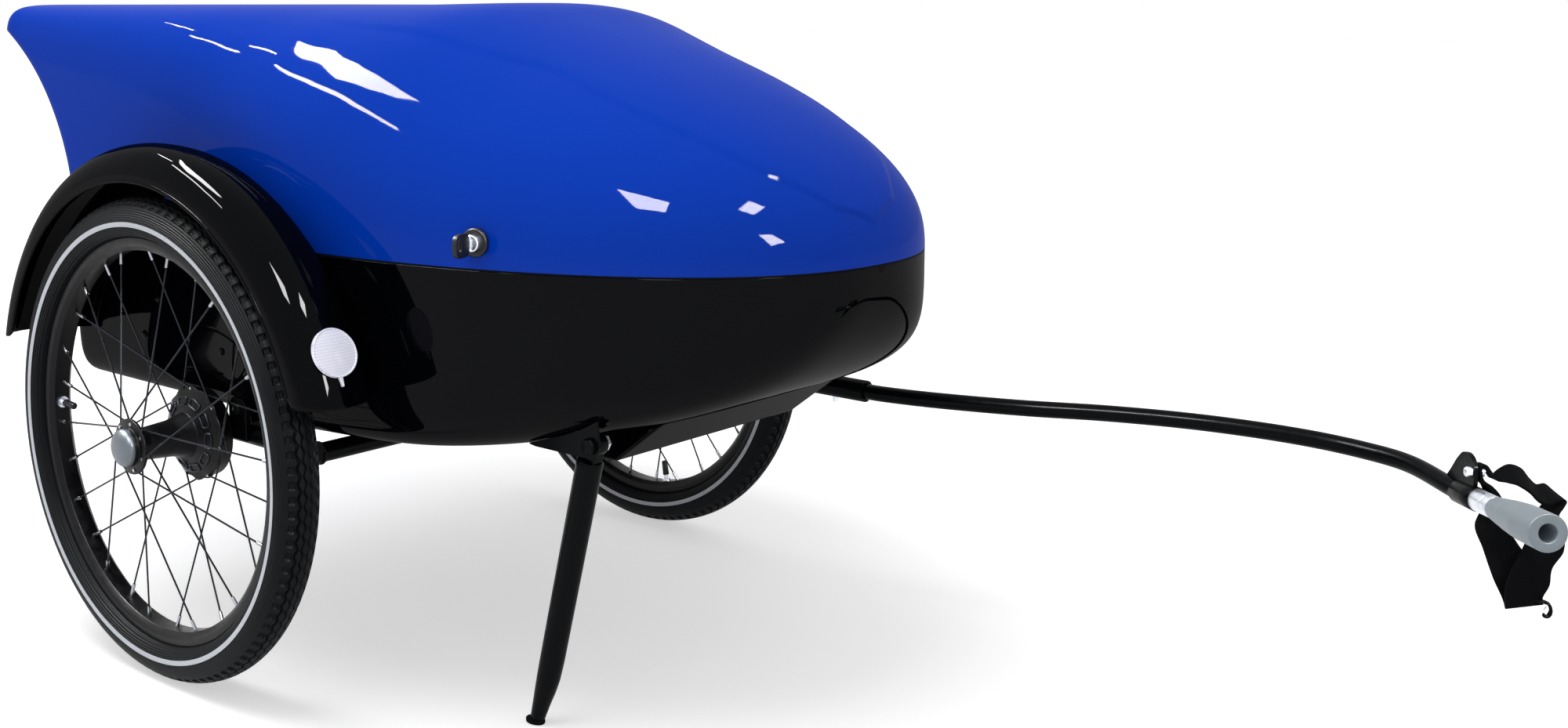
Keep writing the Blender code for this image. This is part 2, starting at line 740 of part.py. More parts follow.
def make_lock(lid):
    """The cam lock: body, nut, turning plug, key and cam. The cam points rearwards, unlocked."""
    frame = lock_frame()
    hole = cylinder("lock_hole", BARREL_RADIUS + SEAT_GAP, (0, 0, -0.02), (0, 0, 0.02), None, 24)
    hole.matrix_world = frame @ hole.matrix_world
    cut(lid, hole)
    lift = 0.0006
    bore = PLUG_RADIUS + SEAT_GAP
    inner = -BARREL_LENGTH
    body_profile = ((BEZEL_RADIUS - 0.0012, lift + BEZEL_HEIGHT), (BEZEL_RADIUS, lift + BEZEL_HEIGHT - 0.0015),
                    (BEZEL_RADIUS, lift), (BARREL_RADIUS, lift), (BARREL_RADIUS, inner), (bore, inner),
                    (bore, lift + BEZEL_HEIGHT))
    turned("lock_body", body_profile, "black_plastic", frame)
    nut_top = -SHELL_WALL - 0.0024
    turned_nut("lock_nut", BARREL_RADIUS + 0.0032, BARREL_RADIUS, nut_top, nut_top - 0.004, "zinc", frame)
    cam_near = inner - SEAT_GAP
    shaft = 0.0040
    plug_top = lift + BEZEL_HEIGHT + 0.0055
    tail = cam_near - CAM_THICKNESS - 0.0022
    plug_profile = ((0.0, plug_top), (PLUG_RADIUS - 0.0008, plug_top), (PLUG_RADIUS, plug_top - 0.0008),
                    (PLUG_RADIUS, inner + 0.001), (shaft, inner + 0.001), (shaft, tail), (0.0, tail))
    plug = turned("lock_plug", plug_profile, "zinc", frame, closed=False)
    slot = block("key_slot", (-0.0012, -0.0042, plug_top - 0.010), (0.0012, 0.0042, plug_top + 0.01), None,
                 matrix=frame)
    cut(plug, slot)
    make_key(frame, plug_top)
    make_cam(frame, cam_near, shaft)
    return frame


def make_key(frame, plug_top):
    """The key: a blade in the plug's slot and an oval head, standing upright."""
    head_start = plug_top + 0.0040
    outline = []
    for angle in np.linspace(0.0, math.tau, 20, endpoint=False):
        outline.append((KEY_WIDTH / 2 * math.cos(angle),
                        head_start + KEY_LENGTH / 2 + KEY_LENGTH / 2 * math.sin(angle)))
    upright = frame @ Matrix(((0, 0, 1, 0), (1, 0, 0, 0), (0, 1, 0, 0), (0, 0, 0, 1)))
    head = as_mesh(plate("key", outline, KEY_THICKNESS, "black_plastic", upright))
    blade = block("key_blade", (-0.0009, -0.0038, plug_top - 0.0095), (0.0009, 0.0038, head_start + 0.006), None,
                  matrix=frame)
    return unite(head, blade)


def make_cam(frame, cam_near, shaft):
    """The hooked cam behind the lid: its hook swings down under the strike's ledge as it turns."""
    round_end = []
    eye = 0.0085
    for angle in np.linspace(-math.pi / 2, math.pi / 2, 9):
        round_end.append((eye * math.cos(angle), eye * math.sin(angle)))
    depth = 0.0085
    outline = round_end + [
        (-CAM_REACH + depth, 0.006),
        (-CAM_REACH, 0.006),
        (-CAM_REACH, -CAM_HOOK),
        (-CAM_REACH + depth, -CAM_HOOK),
        (-CAM_REACH + depth, -0.006),
    ]
    middle = frame @ Matrix.Translation((0.0, 0.0, cam_near - CAM_THICKNESS / 2))
    cam = as_mesh(plate("lock_cam", outline, CAM_THICKNESS, "zinc", middle))
    hole = cylinder("cam_hole", shaft + SEAT_GAP, (0, 0, cam_near - 0.01), (0, 0, cam_near + 0.01), None, 16)
    hole.matrix_world = frame @ hole.matrix_world
    return cut(cam, hole)


def make_strike(frame):
    """The strike: an angle on the tub's inner wall whose ledge holds the turned cam down."""
    cam_depth = BARREL_LENGTH + SEAT_GAP + CAM_THICKNESS
    wall = SHELL_WALL - 0.0002
    ledge_top = SEAM_HEIGHT - SEAL_HEIGHT / 2 - 0.0008 - LOCK_HEIGHT
    start = 0.0095
    end = CAM_HOOK + 0.0010
    ledge = block("lock_strike", (start, ledge_top - STRIKE_THICKNESS, -cam_depth - 0.003),
                  (end, ledge_top, -wall), "zinc", matrix=frame)
    back = block("strike_back", (start, ledge_top - 0.020, -wall - STRIKE_THICKNESS),
                 (end, ledge_top - 0.001, -wall - 0.0001), None, matrix=frame)
    return unite(ledge, back)


# Wheels

def tyre_profile():
    """The tyre's open section: a round casing that narrows to two beads inside the rim's flanges."""
    centre = WHEEL_RADIUS - TYRE_RADIUS
    outer = []
    for angle in np.radians(np.linspace(125.0, -125.0, 8)):
        outer.append((centre + TYRE_RADIUS * math.cos(angle), TYRE_RADIUS * math.sin(angle)))
    inner_radius = TYRE_RADIUS - TYRE_WALL
    inner = []
    for angle in np.radians(np.linspace(-115.0, 115.0, 5)):
        inner.append((centre + inner_radius * math.cos(angle), inner_radius * math.sin(angle)))
    flange = RIM_WIDTH / 2
    tip = RIM_SEAT_RADIUS + 0.0055
    bead = RIM_SEAT_RADIUS + 0.0008
    lower = [(tip + 0.0008, -flange - 0.0005), (tip + 0.0006, -flange + 0.0024), (bead, -flange + 0.0026),
             (bead, -flange + 0.0057), (tip + 0.0010, -flange + 0.0037)]
    upper = [(radius, -height) for radius, height in reversed(lower)]
    return outer + lower + inner + upper


def rim_floor():
    """The radius of the channel's floor in the middle of the rim."""
    return RIM_SEAT_RADIUS + 0.0020 - RIM_DEPTH


def rim_profile():
    """The rim's section: a deep channel whose two flanges hold the tyre's beads."""
    half = RIM_WIDTH / 2
    tip = RIM_SEAT_RADIUS + 0.0055
    floor = rim_floor()
    channel = [(tip, half), (tip, half - RIM_WALL), (RIM_SEAT_RADIUS, half - RIM_WALL - 0.0002),
               (RIM_SEAT_RADIUS - 0.0003, half - 0.0063), (floor, 0.0045)]
    under = floor - RIM_WALL
    outside = [(tip - 0.012, -half), (under, -0.0070)]
    mirrored_channel = [(radius, -height) for radius, height in reversed(channel)]
    mirrored_outside = [(radius, -height) for radius, height in reversed(outside)]
    return channel + mirrored_channel + outside + mirrored_outside


def hub_profile():
    """The hub's section: a small flange outside, a slim barrel, and a wide drum towards the trailer."""
    bore = AXLE_RADIUS + 0.0025
    seat = BEARING_RADIUS + SEAT_GAP
    cap_seat = CAP_RADIUS - 0.0017
    flange = OUTER_FLANGE_PLACE
    floor = DRUM_PLACE + 0.0020
    return [
        (CAP_RADIUS + 0.0003, HUB_END), (CAP_RADIUS + 0.0003, flange + 0.0022),
        (OUTER_FLANGE_RADIUS, flange + 0.0016), (OUTER_FLANGE_RADIUS, flange - 0.0016),
        (HUB_BARREL_RADIUS + 0.0010, flange - 0.0050), (HUB_BARREL_RADIUS, 0.020),
        (HUB_BARREL_RADIUS + 0.0025, -0.010), (HUB_BARREL_RADIUS + 0.0070, -0.028),
        (DRUM_RADIUS - 0.0080, DRUM_PLACE + 0.0070), (DRUM_RADIUS - 0.0015, DRUM_PLACE + 0.0035),
        (DRUM_FLANGE_RADIUS, DRUM_PLACE + 0.0016), (DRUM_FLANGE_RADIUS, DRUM_PLACE - 0.0016),
        (DRUM_RADIUS, DRUM_PLACE - 0.0020), (DRUM_RADIUS, DRUM_END), (DRUM_RADIUS - DRUM_WALL, DRUM_END),
        (DRUM_RADIUS - DRUM_WALL, floor), (seat, floor), (seat, floor + BEARING_WIDTH + SEAT_GAP),
        (bore, floor + BEARING_WIDTH + SEAT_GAP), (bore, HUB_END - 0.0050 - BEARING_WIDTH - SEAT_GAP),
        (seat, HUB_END - 0.0050 - BEARING_WIDTH - SEAT_GAP), (seat, HUB_END - 0.0048),
        (cap_seat + SEAT_GAP, HUB_END - 0.0048), (cap_seat + SEAT_GAP, HUB_END),
    ]


def spoke_lines():
    """Each spoke's two ends, in the wheel's own frame."""
    per_side = SPOKE_COUNT // 2
    inner = rim_floor() - RIM_WALL
    sides = (
        (OUTER_FLANGE_PLACE, OUTER_FLANGE_RADIUS - 0.0045, 0.0025, 0.0),
        (DRUM_PLACE, DRUM_FLANGE_RADIUS - 0.0030, -0.0025, 0.5),
    )
    lines = []
    for flange, hole_radius, rim_offset, shift in sides:
        for index in range(per_side):
            way = 1.0 if index % 2 == 0 else -1.0
            hole = math.tau * (index + shift + 0.25) / per_side
            end = hole + way * SPOKE_CROSSES * math.tau / per_side
            face = flange + way * 0.0019
            facet = (end * WHEEL_STEPS / math.tau) % 1.0 - 0.5
            reach = inner * math.cos(math.pi / WHEEL_STEPS) / math.cos(facet * math.tau / WHEEL_STEPS)
            start = Vector((hole_radius * math.cos(hole), hole_radius * math.sin(hole), face))
            seat = Vector((reach * math.cos(end), reach * math.sin(end), rim_offset))
            lines.append((start, seat - (seat - start).normalized() * 1.6 * SEAT_GAP))
    return lines


def rods(name, pairs, radius, sides):
    """Many straight rods in one mesh."""
    bm = bmesh.new()
    for start, end in pairs:
        made = bmesh.ops.create_cone(bm, cap_ends=True, segments=sides, radius1=radius, radius2=radius,
                                     depth=(end - start).length)
        bmesh.ops.transform(bm, matrix=along((start + end) / 2, end - start), verts=made["verts"])
    return mesh_from(bm, name)


def make_wheel(side_name, frame, valve_deg):
    """One wheel, in a frame at its middle with +Z pointing away from the trailer."""
    wheel = frame @ Matrix.Rotation(math.radians(valve_deg), 4, "Z")
    turned(f"{side_name}_tyre", tyre_profile(), "tyre_rubber", wheel, WHEEL_STEPS)
    rim = turned(f"{side_name}_rim", rim_profile(), "black_alloy", wheel, WHEEL_STEPS)
    hub = turned(f"{side_name}_hub", hub_profile(), "black_alloy", wheel, 18)
    spokes = rods(f"{side_name}_spokes", spoke_lines(), SPOKE_RADIUS, 4)
    unite(hub, add(f"{side_name}_spokes", spokes, None, wheel))
    cut(hub, drum_slots(side_name, wheel))
    make_inner_tube(side_name, wheel, rim)
    make_bearings(side_name, wheel)
    make_dust_cap(side_name, wheel)


def drum_slots(side_name, wheel):
    """The pockets pressed into the drum's face, all in one cutter."""
    bm = bmesh.new()
    radius = DRUM_RADIUS - 0.0095
    for index in range(SLOT_COUNT):
        made = bmesh.ops.create_cube(bm, size=1.0)
        bmesh.ops.scale(bm, vec=(SLOT_WIDTH, SLOT_LENGTH, 0.0060), verts=made["verts"])
        turn = Matrix.Rotation(math.tau * index / SLOT_COUNT, 4, "Z")
        place = Matrix.Translation((radius, 0.0, DRUM_PLACE + 0.0092))
        bmesh.ops.transform(bm, matrix=turn @ place, verts=made["verts"])
    name = f"{side_name}_slots"
    return add(name, mesh_from(bm, name), None, wheel)


def make_inner_tube(side_name, wheel, rim):
    """The inner tube, a hollow ring with its valve: the valve's hole opens it and the rim."""
    radius = TYRE_RADIUS - TYRE_WALL - 0.0031
    centre = WHEEL_RADIUS - TYRE_RADIUS + 0.0012
    circle = [(centre + radius * math.cos(angle), radius * math.sin(angle))
              for angle in np.linspace(0.0, -math.tau, 6, endpoint=False)]
    ring = turned(f"{side_name}_inner_tube", circle, "seal_rubber", wheel, 20)
    wall = ring.modifiers.new("wall", "SOLIDIFY")
    wall.thickness = 0.0012
    wall.offset = -1.0
    hole = cylinder(f"{side_name}_valve_hole", VALVE_RADIUS + 0.0004, (centre, 0.0, 0.0), (0.15, 0.0, 0.0), None, 12)
    hole.matrix_world = wheel @ hole.matrix_world
    cut(ring, hole)
    cut(rim, hole)
    stem_end = centre - radius + 0.0008 - VALVE_LENGTH
    cap = 0.0120
    profile = ((0.0, 0.0), (VALVE_RADIUS, 0.0), (VALVE_RADIUS, cap - VALVE_LENGTH),
               (VALVE_RADIUS + 0.0010, cap - VALVE_LENGTH), (VALVE_RADIUS + 0.0008, 0.001 - VALVE_LENGTH),
               (VALVE_RADIUS - 0.0008, -VALVE_LENGTH), (0.0, -VALVE_LENGTH))
    frame = along((stem_end + VALVE_LENGTH, 0.0, 0.0), (1.0, 0.0, 0.0))
    turned(f"{side_name}_valve", profile, "black_plastic", wheel @ frame, 12, closed=False)


def make_bearings(side_name, wheel):
    """A ball bearing at each end of the hub, seen as one ring each."""
    floor = DRUM_PLACE + 0.0020
    bottoms = {"inner": floor + SEAT_GAP, "outer": HUB_END - 0.0050 - BEARING_WIDTH}
    for place, bottom in bottoms.items():
        top = bottom + BEARING_WIDTH - SEAT_GAP
        profile = ((BEARING_RADIUS, top), (BEARING_RADIUS, bottom), (AXLE_RADIUS + SEAT_GAP, bottom),
                   (AXLE_RADIUS + SEAT_GAP, top))
        turned(f"{side_name}_bearing_{place}", profile, "steel", wheel, 16)


def make_dust_cap(side_name, wheel):
    """The domed cap over the axle's end."""
    wall = 0.0012
    skirt = CAP_RADIUS - 0.0017
    rim = HUB_END + SEAT_GAP
    outer = [(CAP_RADIUS * math.sin(turn), rim + 0.0012 + (CAP_HEIGHT - 0.0012) * math.cos(turn))
             for turn in np.linspace(0.0, math.pi / 2, 5)]
    inner = [((skirt - wall) * math.sin(turn), rim + 0.0004 + (CAP_HEIGHT - 0.0016) * math.cos(turn))
             for turn in np.linspace(math.pi / 2, 0.0, 4)]
    profile = outer + [(CAP_RADIUS, rim), (skirt, rim), (skirt, HUB_END - 0.0040),
                       (skirt - wall, HUB_END - 0.0040)] + inner
    turned(f"{side_name}_dust_cap", profile, "grey_cap", wheel, 16, closed=False)


def make_axle_end(side_name, frame):
    """What stands still inside the wheel: the stub axle, its nut and the drum's back plate."""
    inner_end = AXLE_TUBE_HALF - TRACK / 2
    spacer = 0.0095
    floor = DRUM_PLACE + 0.0020
    profile = ((0.0, HUB_END + 0.0030), (AXLE_RADIUS, HUB_END + 0.0030), (AXLE_RADIUS, floor - SEAT_GAP),
               (spacer, floor - SEAT_GAP), (spacer, inner_end + SEAT_GAP), (AXLE_RADIUS, inner_end + SEAT_GAP),
               (AXLE_RADIUS, inner_end - 0.040), (0.0, inner_end - 0.040))
    turned(f"{side_name}_stub_axle", profile, "steel", frame, 16, closed=False)
    nut_low = HUB_END - 0.0050
    turned_nut(f"{side_name}_axle_nut", 0.0098, AXLE_RADIUS, nut_low + 0.0062, nut_low, "zinc", frame)
    plate_radius = DRUM_RADIUS - DRUM_WALL - 0.0008
    back = ((plate_radius, DRUM_END + 0.0032), (plate_radius, DRUM_END + 0.0004),
            (spacer + SEAT_GAP, DRUM_END + 0.0004), (spacer + SEAT_GAP, DRUM_END + 0.0032))
    turned(f"{side_name}_back_plate", back, "black_paint", frame, 18)


# Mudguards

def guard_point(side, radius, share):
    """A point on the mudguard, a share of the way from its level front end over to its rear end."""
    first = math.asin((GUARD_CUT_HEIGHT - AXLE_HEIGHT) / radius)
    angle = first + (math.pi - 2 * first) * share
    return Vector((radius * math.cos(angle), side, AXLE_HEIGHT + radius * math.sin(angle)))


def hull_side(x, height):
    """How far out the hull's side lies at a height, tub or lid."""
    return float(tub_side(x, height) if height < SEAM_HEIGHT else lid_side(x, height))


def make_mudguard(name, way):
    """A mudguard: a rounded section carried round the wheel, ending in a flange along the hull's side."""
    rings = []
    last_radius = GUARD_SECTION[-1][1] - 0.0080
    for share in np.linspace(0.0, 1.0, 19):
        ring = [guard_point(side, radius, share) for side, radius in GUARD_SECTION]
        for radius in (last_radius, last_radius - GUARD_FLANGE):
            point = guard_point(0.0, radius, share)
            beside_lid = smooth_step((point.z - SEAM_HEIGHT + 0.030) / 0.030)
            point.y = hull_side(point.x, point.z) + RUNNING_GAP + GUARD_SEAT * beside_lid
            ring.append(point)
        ring = [(point.x, way * point.y, point.z) for point in ring]
        rings.append(ring if way > 0 else ring[::-1])
    guard = add(name, grid_mesh(name, rings), "black_gelcoat")
    wall = guard.modifiers.new("wall", "SOLIDIFY")
    wall.thickness = GUARD_WALL
    wall.offset = -1.0
    return guard


def make_reflector(name, way):
    """A round reflector that faces forwards on the mudguard."""
    angle = math.radians(REFLECTOR_DEG)
    radial = Vector((math.cos(angle), 0.0, math.sin(angle)))
    seat = radial * (GUARD_SECTION[4][1] + SEAT_GAP) + Vector((0.0, way * REFLECTOR_SIDE, AXLE_HEIGHT))
    profile = ((0.0, REFLECTOR_THICKNESS), (REFLECTOR_RADIUS - 0.0015, REFLECTOR_THICKNESS - 0.0006),
               (REFLECTOR_RADIUS, REFLECTOR_THICKNESS - 0.0020), (REFLECTOR_RADIUS, 0.0), (0.0, 0.0))
    turned(name, profile, "white_reflector", along(seat, radial), 28, closed=False)


# Frame and tow bar

def make_frame():
    """The welded tubes under the tub: axle tube, side rail, cross tube and the tow bar's receiver."""
    height = AXLE_HEIGHT
    keel_floor = AXLE_HEIGHT + AXLE_TUBE_RADIUS + RUNNING_GAP - KEEL_DEPTH
    cross_height = keel_floor - RUNNING_GAP - RAIL_RADIUS
    frame = cylinder("frame", AXLE_TUBE_RADIUS, (0.0, -AXLE_TUBE_HALF, height), (0.0, AXLE_TUBE_HALF, height),
                     "black_paint", 16)
    unite(frame, cylinder("frame_rail", RAIL_RADIUS, (-0.010, -RAIL_SIDE, height),
                          (CROSS_PLACE + RAIL_RADIUS, -RAIL_SIDE, height), None, 12))
    unite(frame, cylinder("frame_receiver", RECEIVER_RADIUS, (-0.015, RECEIVER_SIDE, height),
                          (RECEIVER_END, RECEIVER_SIDE, height), None, 20))
    unite(frame, cylinder("frame_cross", RAIL_RADIUS, (CROSS_PLACE, -RAIL_SIDE - 0.004, cross_height),
                          (CROSS_PLACE, RAIL_SIDE + 0.004, cross_height), None, 12))
    for name, way in (("right", -1.0), ("left", 1.0)):
        lug_side = tub_side(0.060, height + LUG_HEIGHT) + RUNNING_GAP
        faces = sorted((way * lug_side, way * (lug_side + LUG_WALL)))
        unite(frame, block(f"frame_lug_{name}", (0.030, faces[0], height - 0.004),
                           (0.060, faces[1], height + LUG_HEIGHT), None))
        foot = sorted((way * RECEIVER_SIDE, way * (lug_side + LUG_WALL - 0.001)))
        unite(frame, block(f"frame_lug_foot_{name}", (0.031, foot[0], height - 0.003),
                           (0.059, foot[1], height + 0.008), None))
        cut(frame, cylinder(f"axle_bore_{name}", AXLE_RADIUS + SEAT_GAP,
                            (0.0, way * (AXLE_TUBE_HALF - 0.042), height),
                            (0.0, way * (AXLE_TUBE_HALF + 0.010), height), None, 16))
    cut(frame, cylinder("receiver_bore", BAR_RADIUS + SEAT_GAP + 0.0001, (RECEIVER_DEPTH, RECEIVER_SIDE, height),
                        (RECEIVER_END + 0.01, RECEIVER_SIDE, height), None, 24))
    cut(frame, pin_hole("receiver_pin_hole"))
    return frame


def pin_hole(name):
    return cylinder(name, PIN_RADIUS + SEAT_GAP, (PIN_PLACE, RECEIVER_SIDE, AXLE_HEIGHT - 0.03),
                    (PIN_PLACE, RECEIVER_SIDE, AXLE_HEIGHT + 0.03), None, 12)


def make_tow_bar():
    """The tow bar: a tube bowed out to the left and back, thicker where it takes the coupling."""
    end = Vector(BAR_END)
    socket = end - coupling_direction() * BAR_SOCKET_LENGTH
    step = socket + coupling_direction() * 0.006
    start = (RECEIVER_DEPTH + 0.010, RECEIVER_SIDE, AXLE_HEIGHT)
    mouth = (RECEIVER_END + 0.004, RECEIVER_SIDE, AXLE_HEIGHT)
    bow = smooth_line((mouth,) + BAR_ROUTE + (tuple(socket),), BAR_SAMPLES)
    points = np.vstack((start, bow, step, end))
    radii = np.full(len(points), BAR_RADIUS)
    radii[-2:] = BAR_SOCKET_RADIUS
    bar = as_mesh(tube("tow_bar", points, BAR_RADIUS, "black_paint", radii, resolution=3))
    cut(bar, pin_hole("bar_pin_hole"))
    head = AXLE_HEIGHT + RECEIVER_RADIUS + RUNNING_GAP
    profile = ((0.0, 0.0040), (0.0065, 0.0030), (0.0065, 0.0), (PIN_RADIUS, 0.0),
               (PIN_RADIUS, -2 * RECEIVER_RADIUS - 0.006), (0.0, -2 * RECEIVER_RADIUS - 0.006))
    turned("tow_bar_pin", profile, "zinc", Matrix.Translation((PIN_PLACE, RECEIVER_SIDE, head)), 16, closed=False)
    return bar


def coupling_direction():
    """The way the coupling points: across towards the bicycle's wheel, and a little up."""
    turn = math.radians(COUPLING_TURN_DEG)
    rise = math.radians(COUPLING_RISE_DEG)
    return Vector((math.cos(turn) * math.cos(rise), math.sin(turn) * math.cos(rise), math.sin(rise)))


def coupling_frame(distance):
    """The coupling's frame, a distance along its axis from the tow bar's end: +Z runs out of its mouth."""
    direction = coupling_direction()
    return along(Vector(BAR_END) + direction * (SEAT_GAP + distance), direction)


def make_coupling():
    """The silver sleeve on the tow bar's end, and the grey polymer coupling that swivels on it."""
    sleeve = ((0.0, SLEEVE_LENGTH), (SLEEVE_RADIUS, SLEEVE_LENGTH), (SLEEVE_RADIUS, 0.0), (0.0, 0.0))
    turned("coupling_sleeve", sleeve, "zinc", coupling_frame(0.0), 20, closed=False)
    mouth = COUPLING_LENGTH
    outside = ((COUPLING_MOUTH_RADIUS - 0.0015, mouth), (COUPLING_MOUTH_RADIUS, mouth - 0.0015),
               (COUPLING_MOUTH_RADIUS - 0.0004, mouth - 0.040), (COUPLING_MOUTH_RADIUS - 0.0022, mouth - 0.064),
               (COUPLING_NECK_RADIUS + 0.0014, 0.012), (COUPLING_NECK_RADIUS, 0.0), (0.0, 0.0))
    inside = ((0.0, mouth - COUPLING_BORE_DEPTH), (COUPLING_BORE_RADIUS, mouth - COUPLING_BORE_DEPTH),
              (COUPLING_BORE_RADIUS, mouth))
    turned("coupling", inside + outside, "grey_polymer", coupling_frame(SLEEVE_LENGTH + SEAT_GAP), 24,
           closed=False)


def make_strap():
    """The safety strap: its lug and bolt on the tow bar, the webbing loop, and the snap hook on it."""
    frame = coupling_frame(0.0)
    foot = BAR_SOCKET_RADIUS - 0.0015
    outline = ((-0.060, foot), (-0.052, 0.018), (-0.040, 0.032), (-0.031, 0.0395), (-0.020, 0.0405),
               (-0.011, 0.037), (-0.006, 0.029), (-0.007, foot))
    side = frame @ Matrix(((0, 0, 1, 0), (0, 1, 0, 0), (-1, 0, 0, 0), (0, 0, 0, 1)))
    lug = as_mesh(plate("strap_lug", [(-z, y) for z, y in outline], LUG_THICKNESS, "black_paint", side))
    seat = cylinder("lug_seat", BAR_SOCKET_RADIUS + SEAT_GAP, (0, 0, -0.08), (0, 0, 0.02), None, 16)
    seat.matrix_world = frame @ seat.matrix_world
    cut(lug, seat)
    hole = cylinder("lug_hole", 0.0030 + SEAT_GAP, (-0.02, LUG_BOLT_HEIGHT, LUG_BOLT_PLACE),
                    (0.02, LUG_BOLT_HEIGHT, LUG_BOLT_PLACE), None, 12)
    hole.matrix_world = frame @ hole.matrix_world
    cut(lug, hole)
    strap = make_webbing(frame)
    strap_hole = cylinder("strap_hole", 0.0030 + SEAT_GAP, (0.0, LUG_BOLT_HEIGHT, LUG_BOLT_PLACE),
                          (0.0078, LUG_BOLT_HEIGHT, LUG_BOLT_PLACE), None, 12)
    strap_hole.matrix_world = frame @ strap_hole.matrix_world
    cut(strap, strap_hole)
    near = LUG_THICKNESS / 2 + SEAT_GAP
    far = STRAP_ROUTE[0][0] + STRAP_THICKNESS / 2 + 0.0008
    profile = ((0.0, near + 0.0060), (0.0042, near + 0.0052), (0.0050, near + 0.0040), (0.0050, near),
               (0.0030, near), (0.0030, -far), (0.0036, -far), (0.0036, -far - 0.0014), (0.0, -far - 0.0014))
    start = frame @ Vector((0.0, LUG_BOLT_HEIGHT, LUG_BOLT_PLACE))
    turned("strap_bolt", profile, "zinc", along(start, frame.to_3x3() @ Vector((-1.0, 0.0, 0.0))), 12,
           closed=False)
    make_snap_hook(frame, strap)


def make_webbing(frame):
    """A band of webbing in one loop: from the lug down behind the coupling, up past its mouth and back."""
    rows = smooth_loop(STRAP_ROUTE, 56)
    middle = rows[:, :3]
    ahead = np.roll(middle, -1, axis=0) - np.roll(middle, 1, axis=0)
    ahead /= np.linalg.norm(ahead, axis=1)[:, None]
    across = rows[:, 3:] / 2
    normal = np.cross(ahead, across)
    normal *= STRAP_THICKNESS / 2 / np.linalg.norm(normal, axis=1)[:, None]
    rings = [middle + across * wide + normal * deep for wide, deep in ((-1, -1), (-1, 1), (1, 1), (1, -1))]
    mesh = grid_mesh("safety_strap", rings, closed_rings=True, closed_ends=True)
    return add("safety_strap", mesh, "webbing", frame)


def make_snap_hook(frame, strap):
    """The snap hook: a wire ring through the webbing's eyelet, its hook, and the sprung gate."""
    centre = np.array(HOOK_RING_PLACE)
    outwards = np.array((math.cos(HOOK_TURN), math.sin(HOOK_TURN), 0.0))
    ring = [centre + HOOK_RING_RADIUS * (outwards * math.sin(angle) + np.array((0.0, 0.0, math.cos(angle))))
            for angle in np.linspace(0.0, math.tau, 16, endpoint=False)]
    curve = tube("snap_hook", ring, HOOK_WIRE, "black_paint", resolution=2)
    curve.data.splines[0].use_cyclic_u = True
    curve.matrix_world = frame
    hook = as_mesh(curve)
    shank = tube("hook_shank", [centre + np.array((x, y, 0.0)) for x, y in HOOK_OUTLINE], HOOK_WIRE + 0.0002, None,
                 resolution=2)
    shank.matrix_world = frame
    unite(hook, as_mesh(shank))
    hole = centre - outwards * HOOK_RING_RADIUS
    eyelet = cylinder("strap_eyelet", EYELET_RADIUS, (hole[0], hole[1], hole[2] - 0.012),
                      (hole[0], hole[1], hole[2] + 0.012), None, 12)
    eyelet.matrix_world = frame @ eyelet.matrix_world
    cut(strap, eyelet)
    tip, root = (centre + np.array((x, y, 0.0)) for x, y in HOOK_GATE)
    gate = cylinder("hook_gate", 0.0010, tip, root, "zinc", 8)
    gate.matrix_world = frame @ gate.matrix_world


# Parking stand

def stand_axis(height):
    """The point of the leg's middle line at a height."""
    share = height / STAND_KNEE[1]
    return Vector((STAND_GROUND_PLACE + (STAND_KNEE[0] - STAND_GROUND_PLACE) * share, STAND_SIDE, height))


def stand_line(extra):
    """The leg's stations from its top down, its rear edge kept straight, and its radii with an extra."""
    up = (stand_axis(STAND_KNEE[1]) - stand_axis(0.0)).normalized()
    rearwards = Vector((-up.z, 0.0, up.x))
    widest = STAND_TAPER[0][1]
    points = [stand_axis(height) + rearwards * (widest - radius) for height, radius in STAND_TAPER]
    return points, [radius + extra for height, radius in STAND_TAPER]


def make_stand():
    """The parking stand: bracket, pivot bolt and nut, stop, folding leg and rubber foot."""
    pivot = Vector((STAND_PLACE, STAND_SIDE, STAND_PIVOT_HEIGHT))
    make_bracket(pivot)
    points, radii = stand_line(0.0)
    leg = as_mesh(tube("stand_leg", points, radii[0], "black_paint", radii, resolution=3))
    flat = STAND_EYE_HALF_WIDTH
    unite(leg, cylinder("stand_eye", STAND_EYE_RADIUS, (pivot.x, pivot.y - flat, pivot.z),
                        (pivot.x, pivot.y + flat, pivot.z), None, 20))
    top = stand_axis(STAND_PIVOT_HEIGHT + 0.0015)
    length = (top - points[0]).length + 0.010
    neck = block("stand_neck", (-STAND_NECK_REAR, -length, -flat), (STAND_NECK_FRONT, 0.0, flat), None,
                 matrix=along(top, (0.0, -1.0, 0.0), top - points[0]))
    unite(leg, neck)
    cut(leg, cylinder("stand_bore", STAND_BOLT_RADIUS + SEAT_GAP, (pivot.x, pivot.y - 0.05, pivot.z),
                      (pivot.x, pivot.y + 0.05, pivot.z), None, 16))
    near = cheek_side() + BRACKET_WALL / 2 + SEAT_GAP
    far = flat + SEAT_GAP
    profile = ((0.0, near + 0.0052), (0.0068, near + 0.0046), (0.0080, near + 0.0028), (0.0080, near),
               (STAND_BOLT_RADIUS, near), (STAND_BOLT_RADIUS, -far - 0.0062), (0.0, -far - 0.0062))
    outward = along(pivot, (0.0, -1.0, 0.0))
    turned("stand_pivot_bolt", profile, "black_paint", outward, 16, closed=False)
    turned_nut("stand_pivot_nut", 0.0078, STAND_BOLT_RADIUS, -far, -far - 0.0050, "zinc", outward)
    make_foot(leg)


def cheek_side():
    """How far the middle of the bracket's cheek lies outside the leg's middle."""
    return STAND_EYE_HALF_WIDTH + SEAT_GAP + BRACKET_WALL / 2


